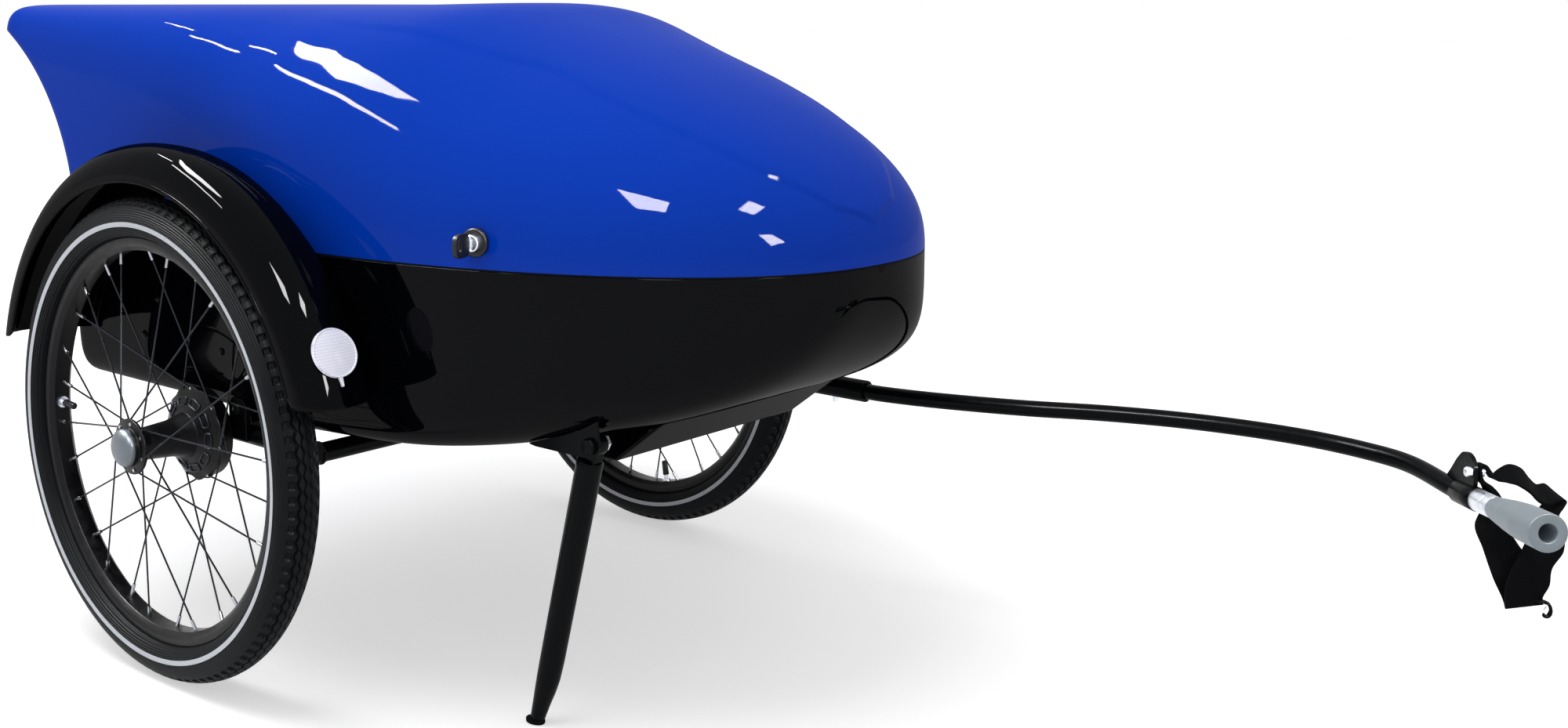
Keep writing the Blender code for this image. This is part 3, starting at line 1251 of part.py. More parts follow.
def make_foot(leg):
    """The rubber foot: a sole with a toe turned rearwards, and a plug in the leg's end."""
    end, radii = stand_line(0.0)
    tip = end[-1]
    up = (end[-2] - end[-1]).normalized()
    outline = ((tip.x - 0.0150, 0.0), (tip.x - 0.0150, 0.0028), (tip.x - 0.0072, 0.0040), (tip.x + 0.0072, 0.0040),
               (tip.x + 0.0060, 0.0016), (tip.x + 0.0020, 0.0))
    foot = as_mesh(plate("stand_foot", outline, 2 * STAND_FOOT_HALF_WIDTH, "seal_rubber",
                         along((0.0, STAND_SIDE, 0.0), (0.0, -1.0, 0.0))))
    unite(foot, cylinder("foot_plug", STAND_PLUG_RADIUS, tip - up * 0.0045, tip + up * STAND_PLUG_LENGTH, None, 12))
    cut(leg, cylinder("leg_socket", STAND_PLUG_RADIUS + SEAT_GAP, tip - up * 0.010,
                      tip + up * (STAND_PLUG_LENGTH + SEAT_GAP), None, 12))


def make_bracket(pivot):
    """The bracket under the tub: a cheek outside the leg, a flange along the tub, and the stop."""
    side = STAND_SIDE - cheek_side()
    wall = BRACKET_WALL
    inner = side + wall / 2
    stations = np.linspace(pivot.x + BRACKET_EAR * 0.75, BRACKET_REAR, 9)
    ceiling = [(x, tub_bottom(x, inner) - RUNNING_GAP) for x in stations]
    lower = [(BRACKET_REAR, ceiling[-1][1] - 0.0010), (BRACKET_REAR + 0.008, BRACKET_FLOOR),
             (pivot.x - 0.016, BRACKET_FLOOR)]
    lower += [(pivot.x + BRACKET_EAR * math.cos(angle), pivot.z + BRACKET_EAR * math.sin(angle))
              for angle in np.radians(np.linspace(-105.0, 20.0, 7))]
    bracket = as_mesh(plate("stand_bracket", lower + ceiling, wall, "black_paint",
                            along((0.0, side, 0.0), (0.0, -1.0, 0.0))))
    seat = [(x, tub_bottom(x, BRACKET_FLANGE_SIDE) - RUNNING_GAP)
            for x in np.linspace(BRACKET_FLANGE_FRONT, BRACKET_FLANGE_REAR, 5)]
    strip = seat + [(x, z - wall) for x, z in reversed(seat)]
    flange = as_mesh(plate("bracket_flange", strip, BRACKET_FLANGE_SIDE - side, None,
                           along((0.0, (BRACKET_FLANGE_SIDE + side) / 2, 0.0), (0.0, -1.0, 0.0))))
    unite(bracket, flange)
    cut(bracket, cylinder("bracket_bore", STAND_BOLT_RADIUS + SEAT_GAP, (pivot.x, pivot.y - 0.05, pivot.z),
                          (pivot.x, pivot.y + 0.05, pivot.z), None, 16))
    inside = inner + SEAT_GAP
    cylinder("stand_stop", STOP_RADIUS, (STOP_PLACE, inside, STOP_HEIGHT),
             (STOP_PLACE, inside + 2 * STAND_EYE_HALF_WIDTH, STOP_HEIGHT), "seal_rubber", 16)


def move_to_footprint():
    """Shifts every part and cutter so that the origin is the middle of the footprint."""
    shift = Matrix.Translation((-FOOTPRINT_X, -FOOTPRINT_Y, 0.0))
    for obj in list(PARTS.objects) + list(CUTTERS.objects):
        obj.matrix_world = shift @ obj.matrix_world


def main():
    clear_scene()
    make_tub()
    lid = make_lid()
    make_seal()
    for name, side in (("right", -HINGE_SPREAD / 2), ("left", HINGE_SPREAD / 2)):
        make_hinge(name, side)
    frame = make_lock(lid)
    make_strike(frame)
    for name, way, valve in (("right", -1.0, RIGHT_VALVE_DEG), ("left", 1.0, LEFT_VALVE_DEG)):
        place = along((0.0, way * TRACK / 2, AXLE_HEIGHT), (0.0, way, 0.0))
        make_wheel(name, place, valve)
        make_axle_end(name, place)
        make_mudguard(f"{name}_mudguard", way)
        make_reflector(f"{name}_reflector", way)
    make_frame()
    make_tow_bar()
    make_coupling()
    make_strap()
    make_stand()
    move_to_footprint()


main()
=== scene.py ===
# %% [markdown]
# A bicycle trailer, built up in small steps
#
# The real thing is a two-wheeled cargo trailer: a gloss black tub, a gloss blue lid hinged at its rear,
# two spoked wheels under mudguards, a parking stand, and a tow bar that bows out to the bicycle's left.
# The solid model comes in first and stays where it is. Each visible surface then gets either a finer
# surface worked out from the same formulas, or a material of its own.

# %% Start, and load the solid model
import math

import bmesh
import bpy
import numpy as np
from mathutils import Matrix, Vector


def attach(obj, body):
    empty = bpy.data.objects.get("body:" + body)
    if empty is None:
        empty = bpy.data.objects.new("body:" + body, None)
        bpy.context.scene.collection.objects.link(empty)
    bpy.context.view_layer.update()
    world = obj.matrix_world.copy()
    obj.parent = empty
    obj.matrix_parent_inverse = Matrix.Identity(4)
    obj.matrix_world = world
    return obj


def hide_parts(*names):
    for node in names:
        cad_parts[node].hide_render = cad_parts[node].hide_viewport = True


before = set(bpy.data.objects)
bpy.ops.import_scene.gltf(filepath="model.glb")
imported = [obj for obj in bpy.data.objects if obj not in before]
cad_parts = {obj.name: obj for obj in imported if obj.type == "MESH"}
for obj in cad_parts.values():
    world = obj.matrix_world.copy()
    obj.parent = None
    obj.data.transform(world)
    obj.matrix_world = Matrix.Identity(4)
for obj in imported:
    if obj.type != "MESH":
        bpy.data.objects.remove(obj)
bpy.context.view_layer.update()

# %% [markdown]
# All sizes below are measured from the point on the ground under the middle of the axle, because the
# wheels are there. One shift takes them to the model's own origin, the middle of its footprint.
# Shapes are numpy arrays: a grid of points, rows one way and columns the other. One function turns any
# grid into a mesh, so that no loop ever runs over single vertices.

# %% From a grid of points to a mesh
TO_ROW = np.array((-0.3583, -0.0110, 0.0))
UP = (0.0, 0.0, 1.0)
MERGE_DISTANCE = 0.000002
FINISHES = {}


def grid_faces(rows, cols, ring, around):
    """The four corners of each face: a point, the next in its row, and the same two in the next row."""
    index = np.arange(rows * cols).reshape(rows, cols)
    down = np.roll(index, -1, axis=0)
    quads = np.stack((index, down, np.roll(down, -1, axis=1), np.roll(index, -1, axis=1)), axis=-1)
    return quads[:rows if ring else rows - 1, :cols if around else cols - 1].reshape(-1, 4)


def surface(name, grid, finish="black_paint", body="chassis", ring=False, around=False, caps=False, wall=0.0,
            replaces="", uv=None, sharp=40.0, offset=-1.0):
    """One mesh object from a grid (rows, columns, xyz), or from several alike grids stacked in front.

    ring joins the last row to the first and around the last column to the first. caps closes both end
    rows with one face each. The faces are turned outwards: if the sum of each face's area times its
    normal's reach from the middle is negative, all of them are flipped.
    """
    grid = np.asarray(grid, float)
    grid = grid[None] if grid.ndim == 3 else grid
    count, rows, cols = grid.shape[:3]
    offsets = np.arange(count)[:, None] * rows * cols
    faces = (grid_faces(rows, cols, ring, around)[None] + offsets[..., None]).reshape(-1, 4).tolist()
    if caps:
        end = np.arange(cols)[None] + offsets
        faces += end[:, ::-1].tolist() + (end + (rows - 1) * cols).tolist()
    mesh = bpy.data.meshes.new(name)
    mesh.from_pydata((grid.reshape(-1, 3) + TO_ROW).tolist(), [], faces)
    if uv is not None:
        corner = np.empty(len(mesh.loops), int)
        mesh.loops.foreach_get("vertex_index", corner)
        layer = mesh.uv_layers.new(name="weave")
        layer.uv.foreach_set("vector", np.asarray(uv, np.float32).reshape(-1, 2)[corner].ravel())
    work = bmesh.new()
    work.from_mesh(mesh)
    bmesh.ops.remove_doubles(work, verts=work.verts, dist=MERGE_DISTANCE)
    bmesh.ops.recalc_face_normals(work, faces=work.faces)
    middle = sum((f.calc_center_median() * f.calc_area() for f in work.faces), Vector()) / sum(
        f.calc_area() for f in work.faces)
    if sum((f.calc_center_median() - middle).dot(f.normal) * f.calc_area() for f in work.faces) < 0:
        bmesh.ops.reverse_faces(work, faces=work.faces)
    work.to_mesh(mesh)
    work.free()
    mesh.shade_smooth()
    mesh.set_sharp_from_angle(angle=math.radians(sharp))
    mesh.materials.append(FINISHES[finish])
    obj = bpy.data.objects.new(name, mesh)
    bpy.context.scene.collection.objects.link(obj)
    if wall:
        solid = obj.modifiers.new("wall", "SOLIDIFY")
        solid.thickness = wall
        solid.offset = offset
    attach(obj, body)
    if replaces:
        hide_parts(replaces)
    print(f"{name}: {len(mesh.polygons)} faces in {finish}")
    return obj


def bevel(obj, width, segments=3):
    """Rounds an object's sharp edges."""
    edge = obj.modifiers.new("edge", "BEVEL")
    edge.width = width
    edge.segments = segments
    edge.limit_method = "ANGLE"


print("faces between 2 by 3 points:", len(grid_faces(2, 3, False, False)))

# %% [markdown]
# Three families of shape cover nearly every rigid piece here. A turned piece is a profile carried round
# an axis, a swept piece is a circle carried along a path, and a flat piece is an outline given a
# thickness. Sharp corners never look real, so profiles pass through a step that rounds them.

# %% Places, profiles and lines
LEAST_LENGTH = 1e-9
PARALLEL = 1e-6
CORNER_SHARE = 0.42


def mm(*rows):
    """Rows of millimetres as an array in metres."""
    return np.array(rows, float) / 1000.0


def turns(count):
    """Even angles, once round."""
    return np.linspace(0.0, math.tau, count, endpoint=False)


def polar(radius, angle, height):
    """Points round z: radius cos, radius sin, and a height."""
    radius, angle, height = np.broadcast_arrays(radius, angle, height)
    return np.stack((radius * np.cos(angle), radius * np.sin(angle), height), axis=-1)


def unit(vectors):
    """Vectors divided by their own lengths."""
    return vectors / np.maximum(np.linalg.norm(vectors, axis=-1, keepdims=True), LEAST_LENGTH)


def frame_at(origin, direction):
    """Three axes and an origin: z along the direction, y as near to up as it goes, x across both."""
    z = unit(np.asarray(direction, float))
    x = np.cross(UP, z)
    if np.linalg.norm(x) < PARALLEL:
        x = np.cross((0.0, 1.0, 0.0), z)
    x = unit(x)
    return np.array((x, np.cross(z, x), z)), np.asarray(origin, float)


def into(place_frame, points):
    """Points of a piece's own frame, carried into the trailer's."""
    axes, origin = place_frame
    return np.asarray(points, float) @ axes + origin


def rounded(profile, radius, count=4):
    """A profile with each corner replaced by a curve from a radius before it to a radius after it.

    On a side shorter than that needs, the curve takes a fixed share of the side instead.

    A profile that starts on the axis, where x is 0, is open and keeps its two ends.
    """
    p = np.asarray(profile, float)
    back = np.roll(p, 1, axis=0) - p
    ahead = np.roll(p, -1, axis=0) - p
    a, b = (p + way * np.minimum(radius / np.linalg.norm(way, axis=1, keepdims=True), CORNER_SHARE)
            for way in (back, ahead))
    t = np.linspace(0.0, 1.0, count)[None, :, None]
    curve = (1 - t) ** 2 * a[:, None] + 2 * t * (1 - t) * p[:, None] + t ** 2 * b[:, None]
    if p[0, 0] == 0.0:
        return np.concatenate((p[:1], curve[1:-1].reshape(-1, 2), p[-1:]))
    return curve.reshape(-1, 2)


print("one turn in four:", np.degrees(turns(4)))


# %% Turned, swept and flat pieces
def turned(name, profile, at, finish="black_paint", body="chassis", steps=96, **more):
    """A profile of (radius, height) carried round its frame's z. One that starts on the axis is open."""
    profile = np.asarray(profile, float)
    grid = polar(profile[:, 0], turns(steps)[:, None], profile[:, 1])
    surface(name, into(at, grid), finish, body, ring=True, around=bool(profile[0, 0] > 0.0), **more)


def sweep_grid(path, radius, sides, up, closed=False):
    """Rings round a path: each lies across the path's own direction, with one axis as near to up as it goes."""
    path = np.asarray(path, float)
    ahead = np.roll(path, -1, axis=-2) - np.roll(path, 1, axis=-2) if closed else np.gradient(path, axis=-2)
    ahead = unit(ahead)
    side = unit(np.cross(ahead, np.broadcast_to(up, ahead.shape)))
    top = np.cross(side, ahead)
    radius = np.broadcast_to(np.asarray(radius, float), path.shape[:-1])[..., None, None]
    angle = turns(sides)[:, None]
    return path[..., None, :] + radius * (side[..., None, :] * np.cos(angle) + top[..., None, :] * np.sin(angle))


def swept(name, path, radius, finish="black_paint", body="chassis", sides=24, up=UP, closed=False, replaces=""):
    """A round bar along a path."""
    surface(name, sweep_grid(path, radius, sides, up, closed), finish, body, ring=closed, around=True,
            caps=not closed, replaces=replaces)


def rods(name, starts, ends, radius, finish, body, sides=8):
    """Many straight bars in one piece, from each start to its end."""
    grid = sweep_grid(np.stack((starts, ends), axis=1), radius, sides, up=(0.31, 0.17, 0.93))
    surface(name, grid, finish, body, around=True, caps=True)


def flat_piece(name, outline, thickness, edge, at, finish="black_paint", body="chassis", replaces=""):
    """An outline in its frame's x and y, given half its thickness each way, with rounded edges."""
    layers = [np.column_stack((outline, np.full(len(outline), z))) for z in (-thickness / 2, thickness / 2)]
    bevel(surface(name, into(at, layers), finish, body, around=True, caps=True, replaces=replaces, sharp=30.0), edge)


print("three families of shape")

# %% [markdown]
# Materials. Each is named for what the real surface is. Colours are sRGB hex values, turned to linear
# by one function, and one small function adds a shader node with its settings and its inputs.
# Patterns read Object coordinates in metres, so a scale of 1000 means one feature a millimetre.

# %% Material helpers
MIX_FIRST, MIX_SECOND, MIX_RESULT = 6, 7, 2


def linear(code):
    """An sRGB hex colour as four linear numbers: the low end is straight, the rest a power of 2.4."""
    value = np.array([int(code[i:i + 2], 16) for i in (1, 3, 5)]) / 255.0
    value = np.where(value <= 0.04045, value / 12.92, ((value + 0.055) / 1.055) ** 2.4)
    return (*value.tolist(), 1.0)


def add_node(tree, kind, inputs=(), **settings):
    """One shader node: its settings by name, and for each input a plain value or another node's socket."""
    node = tree.nodes.new(kind)
    for name, value in settings.items():
        setattr(node, name, value)
    for name, value in dict(inputs).items():
        if isinstance(value, bpy.types.NodeSocket):
            tree.links.new(value, node.inputs[name])
        else:
            node.inputs[name].default_value = value
    return node


def base(name, colour, roughness, **sockets):
    """A new material with its Principled shader's plain values set on its own sockets."""
    made = bpy.data.materials.new(name)
    made.use_nodes = True
    shader = made.node_tree.nodes["Principled BSDF"]
    shader.inputs["Base Color"].default_value = linear(colour)
    shader.inputs["Roughness"].default_value = roughness
    for socket, value in sockets.items():
        shader.inputs[socket.replace("_", " ")].default_value = value
    made.diffuse_color = linear(colour)
    return made, made.node_tree, shader


def skin(tree, shader, height, depth_mm, strength=1.0, mixing=None, colours=(), bent=("Normal",)):
    """Bends the shader's normal by a height pattern of a real depth, and mixes two colours by another pattern."""
    relief = add_node(tree, "ShaderNodeBump", {"Distance": depth_mm / 1000.0, "Strength": strength, "Height": height})
    for socket in bent:
        tree.links.new(relief.outputs["Normal"], shader.inputs[socket])
    if colours:
        mixed = add_node(tree, "ShaderNodeMix", {MIX_FIRST: linear(colours[0]), MIX_SECOND: linear(colours[1]),
                                                 "Factor": mixing}, data_type="RGBA")
        tree.links.new(mixed.outputs[MIX_RESULT], shader.inputs["Base Color"])


def coating(name, colour, roughness, wander, grain, patches=(), bent=("Normal",), **sockets):
    """A material whose roughness wanders and whose skin has a grain; patches add a second colour.

    wander is (period in mm, detail, how far down, how far up), grain (period in mm, detail, depth in mm,
    strength) and patches (period in mm, detail, second colour). Each is soft noise whose blotches are
    about a period across. The roughness goes from low to high as its noise goes from 0.3 to 0.7.
    """
    made, tree, shader = base(name, colour, roughness, **sockets)
    where = add_node(tree, "ShaderNodeTexCoord").outputs["Object"]
    clouds = [add_node(tree, "ShaderNodeTexNoise", {"Scale": 1000.0 / row[0], "Detail": row[1],
                                                    "Vector": where}).outputs["Fac"]
              for row in (wander, grain, patches) if row]
    varied = add_node(tree, "ShaderNodeMapRange", {"Value": clouds[0], "From Min": 0.3, "From Max": 0.7,
                                                   "To Min": roughness - wander[2], "To Max": roughness + wander[3]})
    tree.links.new(varied.outputs["Result"], shader.inputs["Roughness"])
    skin(tree, shader, clouds[1], grain[2], grain[3], clouds[-1], (colour, patches[2]) if patches else (), bent)
    return made


print("mid grey, as a linear number:", round(linear("#808080")[0], 4))

# %% [markdown]
# The hull is glass-fibre laminate with a pigmented gelcoat, sprayed into a polished mould. That gives a
# deep flat colour under a mirror-like skin, with a faint long ripple where the laminate has shrunk on
# its fibres. The ripple is drawn as noise 40 mm long and under a hundredth of a millimetre high.

# %% Gelcoat, the hull's two colours and the mudguards'
for name, deep, bright in (("blue", "#0238AE", "#033BB8"), ("black", "#020306", "#040509")):
    FINISHES[f"{name}_gelcoat"] = coating(
        f"gelcoat_{name}", deep, 0.30, (60.0, 2.0, 0.05, 0.05), (40.0, 1.0, 0.008, 1.0), (180.0, 2.0, bright),
        ("Normal", "Coat Normal"), Specular_IOR_Level=0.0, Coat_Weight=0.12, Coat_Roughness=0.03)
print(sorted(FINISHES))

# %% [markdown]
# Rubber comes next: the tyre's compound is matt with fine rings moulded round its sidewall. The stripe
# on it is a band of tiny glass beads that throw light back, drawn much coarser than real so that they
# show. Seals, the stand's foot and its stop are plain black rubber with a soft sheen.

# %% Rubber and the reflective band
AXLE_HEIGHT = 0.250
RIBBED_FROM, RIBBED_TO, RIB_COUNT = 0.2110, 0.2440, 15


def tyre_rubber(dark="#07090C", light="#0F1216"):
    """Fine rings round the axle, 2.2 mm apart, by the sine of the distance from the axle."""
    made, tree, shader = base("vulcanised_tyre_rubber", dark, 0.50, Specular_IOR_Level=0.07)
    where = add_node(tree, "ShaderNodeTexCoord").outputs["Object"]
    blotches = add_node(tree, "ShaderNodeTexNoise", {"Scale": 1000.0 / 14.0, "Detail": 6.0, "Vector": where})
    off_axle = add_node(tree, "ShaderNodeMapping", {"Location": (-TO_ROW[0], 0.0, -AXLE_HEIGHT),
                                                    "Scale": (1.0, 0.0, 1.0), "Vector": where})
    reach = add_node(tree, "ShaderNodeVectorMath", {0: off_axle.outputs["Vector"]}, operation="LENGTH")
    ring_turn = add_node(tree, "ShaderNodeMapRange", {"Value": reach.outputs["Value"], "From Min": RIBBED_FROM,
                                                      "From Max": RIBBED_TO, "To Max": math.tau * RIB_COUNT})
    rings = add_node(tree, "ShaderNodeMath", {0: ring_turn.outputs["Result"]}, operation="SINE")
    skin(tree, shader, rings.outputs[0], 0.35, 0.8, blotches.outputs["Fac"], (dark, light))
    return made


def reflective_band():
    """A band of glass beads 0.8 mm across."""
    made, tree, shader = base("glass_bead_reflective_band", "#C6CAD2", 0.38, Specular_IOR_Level=0.7)
    where = add_node(tree, "ShaderNodeTexCoord").outputs["Object"]
    beads = add_node(tree, "ShaderNodeTexVoronoi", {"Scale": 1000.0 / 0.8, "Vector": where})
    skin(tree, shader, beads.outputs["Distance"], 0.05, 0.4)
    return made


FINISHES["tyre_rubber"] = tyre_rubber()
FINISHES["band"] = reflective_band()
FINISHES["seal_rubber"] = coating("moulded_epdm_rubber", "#08090B", 0.60, (8.0, 2.0, 0.08, 0.10),
                                  (0.9, 3.0, 0.05, 0.6), (14.0, 6.0, "#101114"), Specular_IOR_Level=0.02)
print(sorted(FINISHES))

# %% [markdown]
# The metals. The rims and hubs are anodised black, a thin dyed skin that keeps a metal's soft gleam.
# The tow bar, stand and frame are powder coated, with a fine orange peel about a millimetre across.
# Bolts and the coupling's sleeve are zinc plated steel, and the spokes are dark stainless wire.

# %% Metals and coatings
FINISHES["black_alloy"] = coating("black_anodised_aluminium", "#090A0E", 0.36, (9.0, 3.0, 0.06, 0.08),
                                  (0.5, 2.0, 0.012, 0.5), Metallic=0.20, Specular_IOR_Level=0.18)
FINISHES["black_paint"] = coating("black_powder_coat", "#05070A", 0.30, (12.0, 2.0, 0.05, 0.08),
                                  (1.4, 1.0, 0.03, 0.6), Specular_IOR_Level=0.03, Coat_Weight=0.05,
                                  Coat_Roughness=0.12)
for key, name, colour, roughness in (("zinc", "zinc_plated_steel", "#DCE0E8", 0.30),
                                     ("steel", "turned_steel", "#A3A6AB", 0.28),
                                     ("spoke", "dark_stainless_wire", "#2C2E33", 0.30)):
    FINISHES[key] = coating(name, colour, roughness, (4.8, 4.0, 0.06, 0.06), (0.6, 2.0, 0.004, 0.5), Metallic=1.0)
print(sorted(FINISHES))

# %% [markdown]
# The polymers: the hub's cap is satin grey, the coupling is a cast polyurethane that lets a little
# light in, the key and the lock's bezel are black nylon with a fine spark-eroded grain, and the
# reflectors are clear acrylic over a sheet of tiny prisms, a pale pattern of small cells. The sheet sends
# a little light straight back to the viewer, which a weak glow stands in for.

# %% Polymers and the reflector
def prism_sheet(pale="#DCDCF2"):
    """Cells 2.6 mm across, seen along the trailer, with a darker line round each."""
    # The emission is a painted glow, standing in for the light the prisms send back.
    made, tree, shader = base("prismatic_acrylic", pale, 0.22, Coat_Weight=0.8, Coat_Roughness=0.05,
                              Emission_Color=linear(pale), Emission_Strength=0.14)
    where = add_node(tree, "ShaderNodeTexCoord").outputs["Object"]
    facing = add_node(tree, "ShaderNodeMapping", {"Rotation": (0.0, math.pi / 2, 0.0), "Vector": where})
    cells = add_node(tree, "ShaderNodeTexVoronoi", {"Scale": 1000.0 / 2.6, "Randomness": 0.25,
                                                    "Vector": facing.outputs["Vector"]},
                     feature="DISTANCE_TO_EDGE", voronoi_dimensions="2D").outputs["Distance"]
    inside = add_node(tree, "ShaderNodeMapRange", {"Value": cells, "From Max": 0.12}).outputs["Result"]
    skin(tree, shader, cells, 0.3, 0.6, inside, ("#CBCCE8", "#F6F6FF"))
    return made


MOULDED = (10.0, 2.0, 0.05, 0.07)
FINISHES["grey_cap"] = coating("satin_grey_abs", "#6C737A", 0.40, MOULDED, (0.8, 3.0, 0.02, 0.5), Metallic=0.45)
FINISHES["grey_polymer"] = coating("cast_polyurethane", "#86929A", 0.42, MOULDED, (1.2, 3.0, 0.02, 0.5),
                                   Subsurface_Weight=0.08, Subsurface_Scale=0.002)
FINISHES["black_plastic"] = coating("grained_black_nylon", "#101114", 0.38, MOULDED, (0.7, 3.0, 0.03, 0.5),
                                    Specular_IOR_Level=0.3)
FINISHES["white_reflector"] = prism_sheet()
print(sorted(FINISHES))

# %% [markdown]
# The safety strap is woven polypropylene webbing. Its pattern follows the band, so it reads the piece's
# own UV map, in metres along and across: ribs run across the width 1.5 mm apart, each crossed by
# bundles of yarn 1.2 mm wide, and the two waves multiplied give the small raised cells of a weave.

# %% Webbing
def webbing(dark="#030406", light="#0A0B0F"):
    """The height is 0.35 times the product of the two waves, plus the ribs' own wave taken to 0 to 1."""
    made, tree, shader = base("polypropylene_webbing", dark, 0.82, Sheen_Weight=0.01, Sheen_Roughness=0.4,
                              Specular_IOR_Level=0.03)
    where = add_node(tree, "ShaderNodeUVMap", uv_map="weave").outputs["UV"]
    split = add_node(tree, "ShaderNodeSeparateXYZ", {"Vector": where})
    waves = []
    for axis, pitch_mm in (("X", 1.5), ("Y", 1.2)):
        wave_turn = add_node(tree, "ShaderNodeMath", {0: split.outputs[axis], 1: math.tau * 1000.0 / pitch_mm},
                             operation="MULTIPLY")
        waves.append(add_node(tree, "ShaderNodeMath", {0: wave_turn.outputs[0]}, operation="SINE").outputs[0])
    crossed = add_node(tree, "ShaderNodeMath", {0: waves[0], 1: waves[1]}, operation="MULTIPLY")
    ribs = add_node(tree, "ShaderNodeMapRange", {"Value": waves[0], "From Min": -1.0}).outputs["Result"]
    height = add_node(tree, "ShaderNodeMath", {0: crossed.outputs[0], 1: 0.35, 2: ribs}, operation="MULTIPLY_ADD")
    skin(tree, shader, height.outputs[0], 0.35, 1.0, ribs, (dark, light))
    return made


FINISHES["webbing"] = webbing()
print(len(FINISHES), "finishes")

# %% [markdown]
# The hull. A real one is laid up in two moulds, so both halves share one outline at the seam. Here that
# outline is a function of the distance along the trailer. Each cross section is a superellipse: its
# power says how square it is. It falls from nearly a box at the rear towards the bow, where the lid is
# nearly an ellipse and the tub stays squarer.

# %% The hull's outline and sections
TRACK = 0.732
SEAM_HEIGHT = 0.4525
TUB_TOP = SEAM_HEIGHT - 0.001
LID_BASE = SEAM_HEIGHT + 0.001
REAR, NOSE = -0.305, 0.635
SHELL_WALL = 0.0040
LID_RISE = 0.2375
TUB_DEPTH = 0.1899
REAR_CORNER = 0.026
HALF_WIDTH = 0.305
REAR_TAPER = 0.013
BOW_START, BOW_LENGTH, BOW_POWER = 0.056, 0.579, 2.26
STATIONS, COLUMNS = 190, 181
RIM_ROW = 0.0015


def smooth_step(value):
    """0 below 0, 1 above 1, and 3 v squared less 2 v cubed between."""
    v = np.clip(value, 0.0, 1.0)
    return v * v * (3.0 - 2.0 * v)


def half_width(x):
    """Half the width at the seam: a superellipse towards the nose, and drawn in a little at the rear."""
    bow = np.clip((x - BOW_START) / BOW_LENGTH, 0.0, 1.0)
    return HALF_WIDTH * (1.0 - bow ** BOW_POWER) ** (1.0 / BOW_POWER) - REAR_TAPER * smooth_step((0.150 - x) / 0.210)


def falling(x, start, bend, close):
    """1 up to a start, then down to 0 at the nose: (1 - s ** bend) ** (1 / close) for a share s of the way."""
    share = np.clip((x - start) / (NOSE - start), 0.0, 1.0)
    return (1.0 - share ** bend) ** (1.0 / close)


def lid_height(x):
    """The lid's height over the seam: level, then falling nearly straight to a round nose."""
    return LID_RISE * falling(x, 0.215, 0.90, 2.20)


def tub_depth(x):
    """The tub's depth under the seam: level, then rising to the nose in a long curve."""
    return TUB_DEPTH * falling(x, 0.256, 1.51, 2.74)


def lid_power(x):
    """How square the lid's section is at a place."""
    return np.interp(x, (-0.30, -0.23, -0.144, -0.06, 0.016, 0.115, 0.216, 0.32),
                     (20.0, 13.0, 9.3, 6.2, 4.3, 3.2, 2.65, 2.33))


def tub_power(x):
    """How square the tub's section is at a place."""
    return np.interp(x, (0.10, 0.40, 0.60), (13.3, 5.7, 5.0))


def eased(function, x, reach=0.050):
    """A function's mean over a stretch round each place, weighted to its middle, so that it has no corner.

    The stretch shrinks to nothing towards the bow, so that the nose still closes.
    """
    offsets = np.linspace(-1.0, 1.0, 25)
    weights = np.cos(offsets * math.pi / 2) ** 2
    x = np.asarray(x, float)[..., None]
    stretch = reach * smooth_step((0.56 - x) / 0.24)
    return (function(x + stretch * offsets) * weights).sum(axis=-1) / weights.sum()


def side_at(x, z):
    """Half the hull's width at a height, from the same superellipse, for the tub or for the lid."""
    shares = [np.clip(share, 0.0, 1.0) for share in ((TUB_TOP - z) / np.maximum(tub_depth(x), 1e-6),
                                                     (z - LID_BASE) / np.maximum(lid_height(x), 1e-6))]
    low, high = ((1.0 - share ** power) ** (1.0 / power) for share, power in zip(shares, (tub_power(x), lid_power(x))))
    return half_width(x) * np.where(z < SEAM_HEIGHT, low, high)


def hull_grid(height_at, power_at, foot, way, level_corner):
    """Sections from the middle of the rear wall, round its corner and along to the nose.

    A section's point at an angle is (width cos, height sin) times (|cos|^p + |sin|^p)^(-1/p). One narrow
    row beside each open edge keeps the shading of the rim's flat face off the sides.
    """
    share = np.linspace(0.0, 1.0, 12)[:-1]
    turn = np.linspace(0.0, math.pi / 2, 13)
    front = REAR + REAR_CORNER
    ahead = front + (NOSE - front) * np.sin(np.linspace(0.0, math.pi / 2, STATIONS))[1:]
    inward = 1.0 - np.sin(turn)
    x = np.concatenate((np.full(len(share), REAR), REAR + REAR_CORNER * (1.0 - np.cos(turn)), ahead))
    width, height = (np.concatenate(((full - corner) * share, full - corner * inward, rest))
                     for full, corner, rest in ((half_width(front), REAR_CORNER, half_width(ahead)),
                                                (height_at(front), level_corner, eased(height_at, ahead))))
    power = np.concatenate((np.full(len(share) + len(turn), power_at(REAR)), eased(power_at, ahead)))[:, None]
    angle = np.linspace(0.0, math.pi, COLUMNS)
    angle = np.concatenate((angle[:1], [RIM_ROW], angle[1:-1], [math.pi - RIM_ROW], angle[-1:]))[None]
    angle = angle + 0.2 * (1.0 - 2.3 / power) * np.sin(4.0 * angle)
    reach = (np.abs(np.cos(angle)) ** power + np.abs(np.sin(angle)) ** power) ** (-1.0 / power)
    return np.stack((np.broadcast_to(x[:, None], reach.shape), -width[:, None] * reach * np.cos(angle),
                     foot + way * height[:, None] * reach * np.sin(angle)), axis=-1)


print("half width at the axle:", round(float(half_width(0.0)), 4))

# %% [markdown]
# The lid carries a low raised panel, like a car's bonnet: its edge runs forward along each shoulder,
# draws in to a waist, swells again and closes round the nose. It is a step of about two millimetres along
# the surface's own normal, faded in from the rear, so the mould line catches the light as a real one.

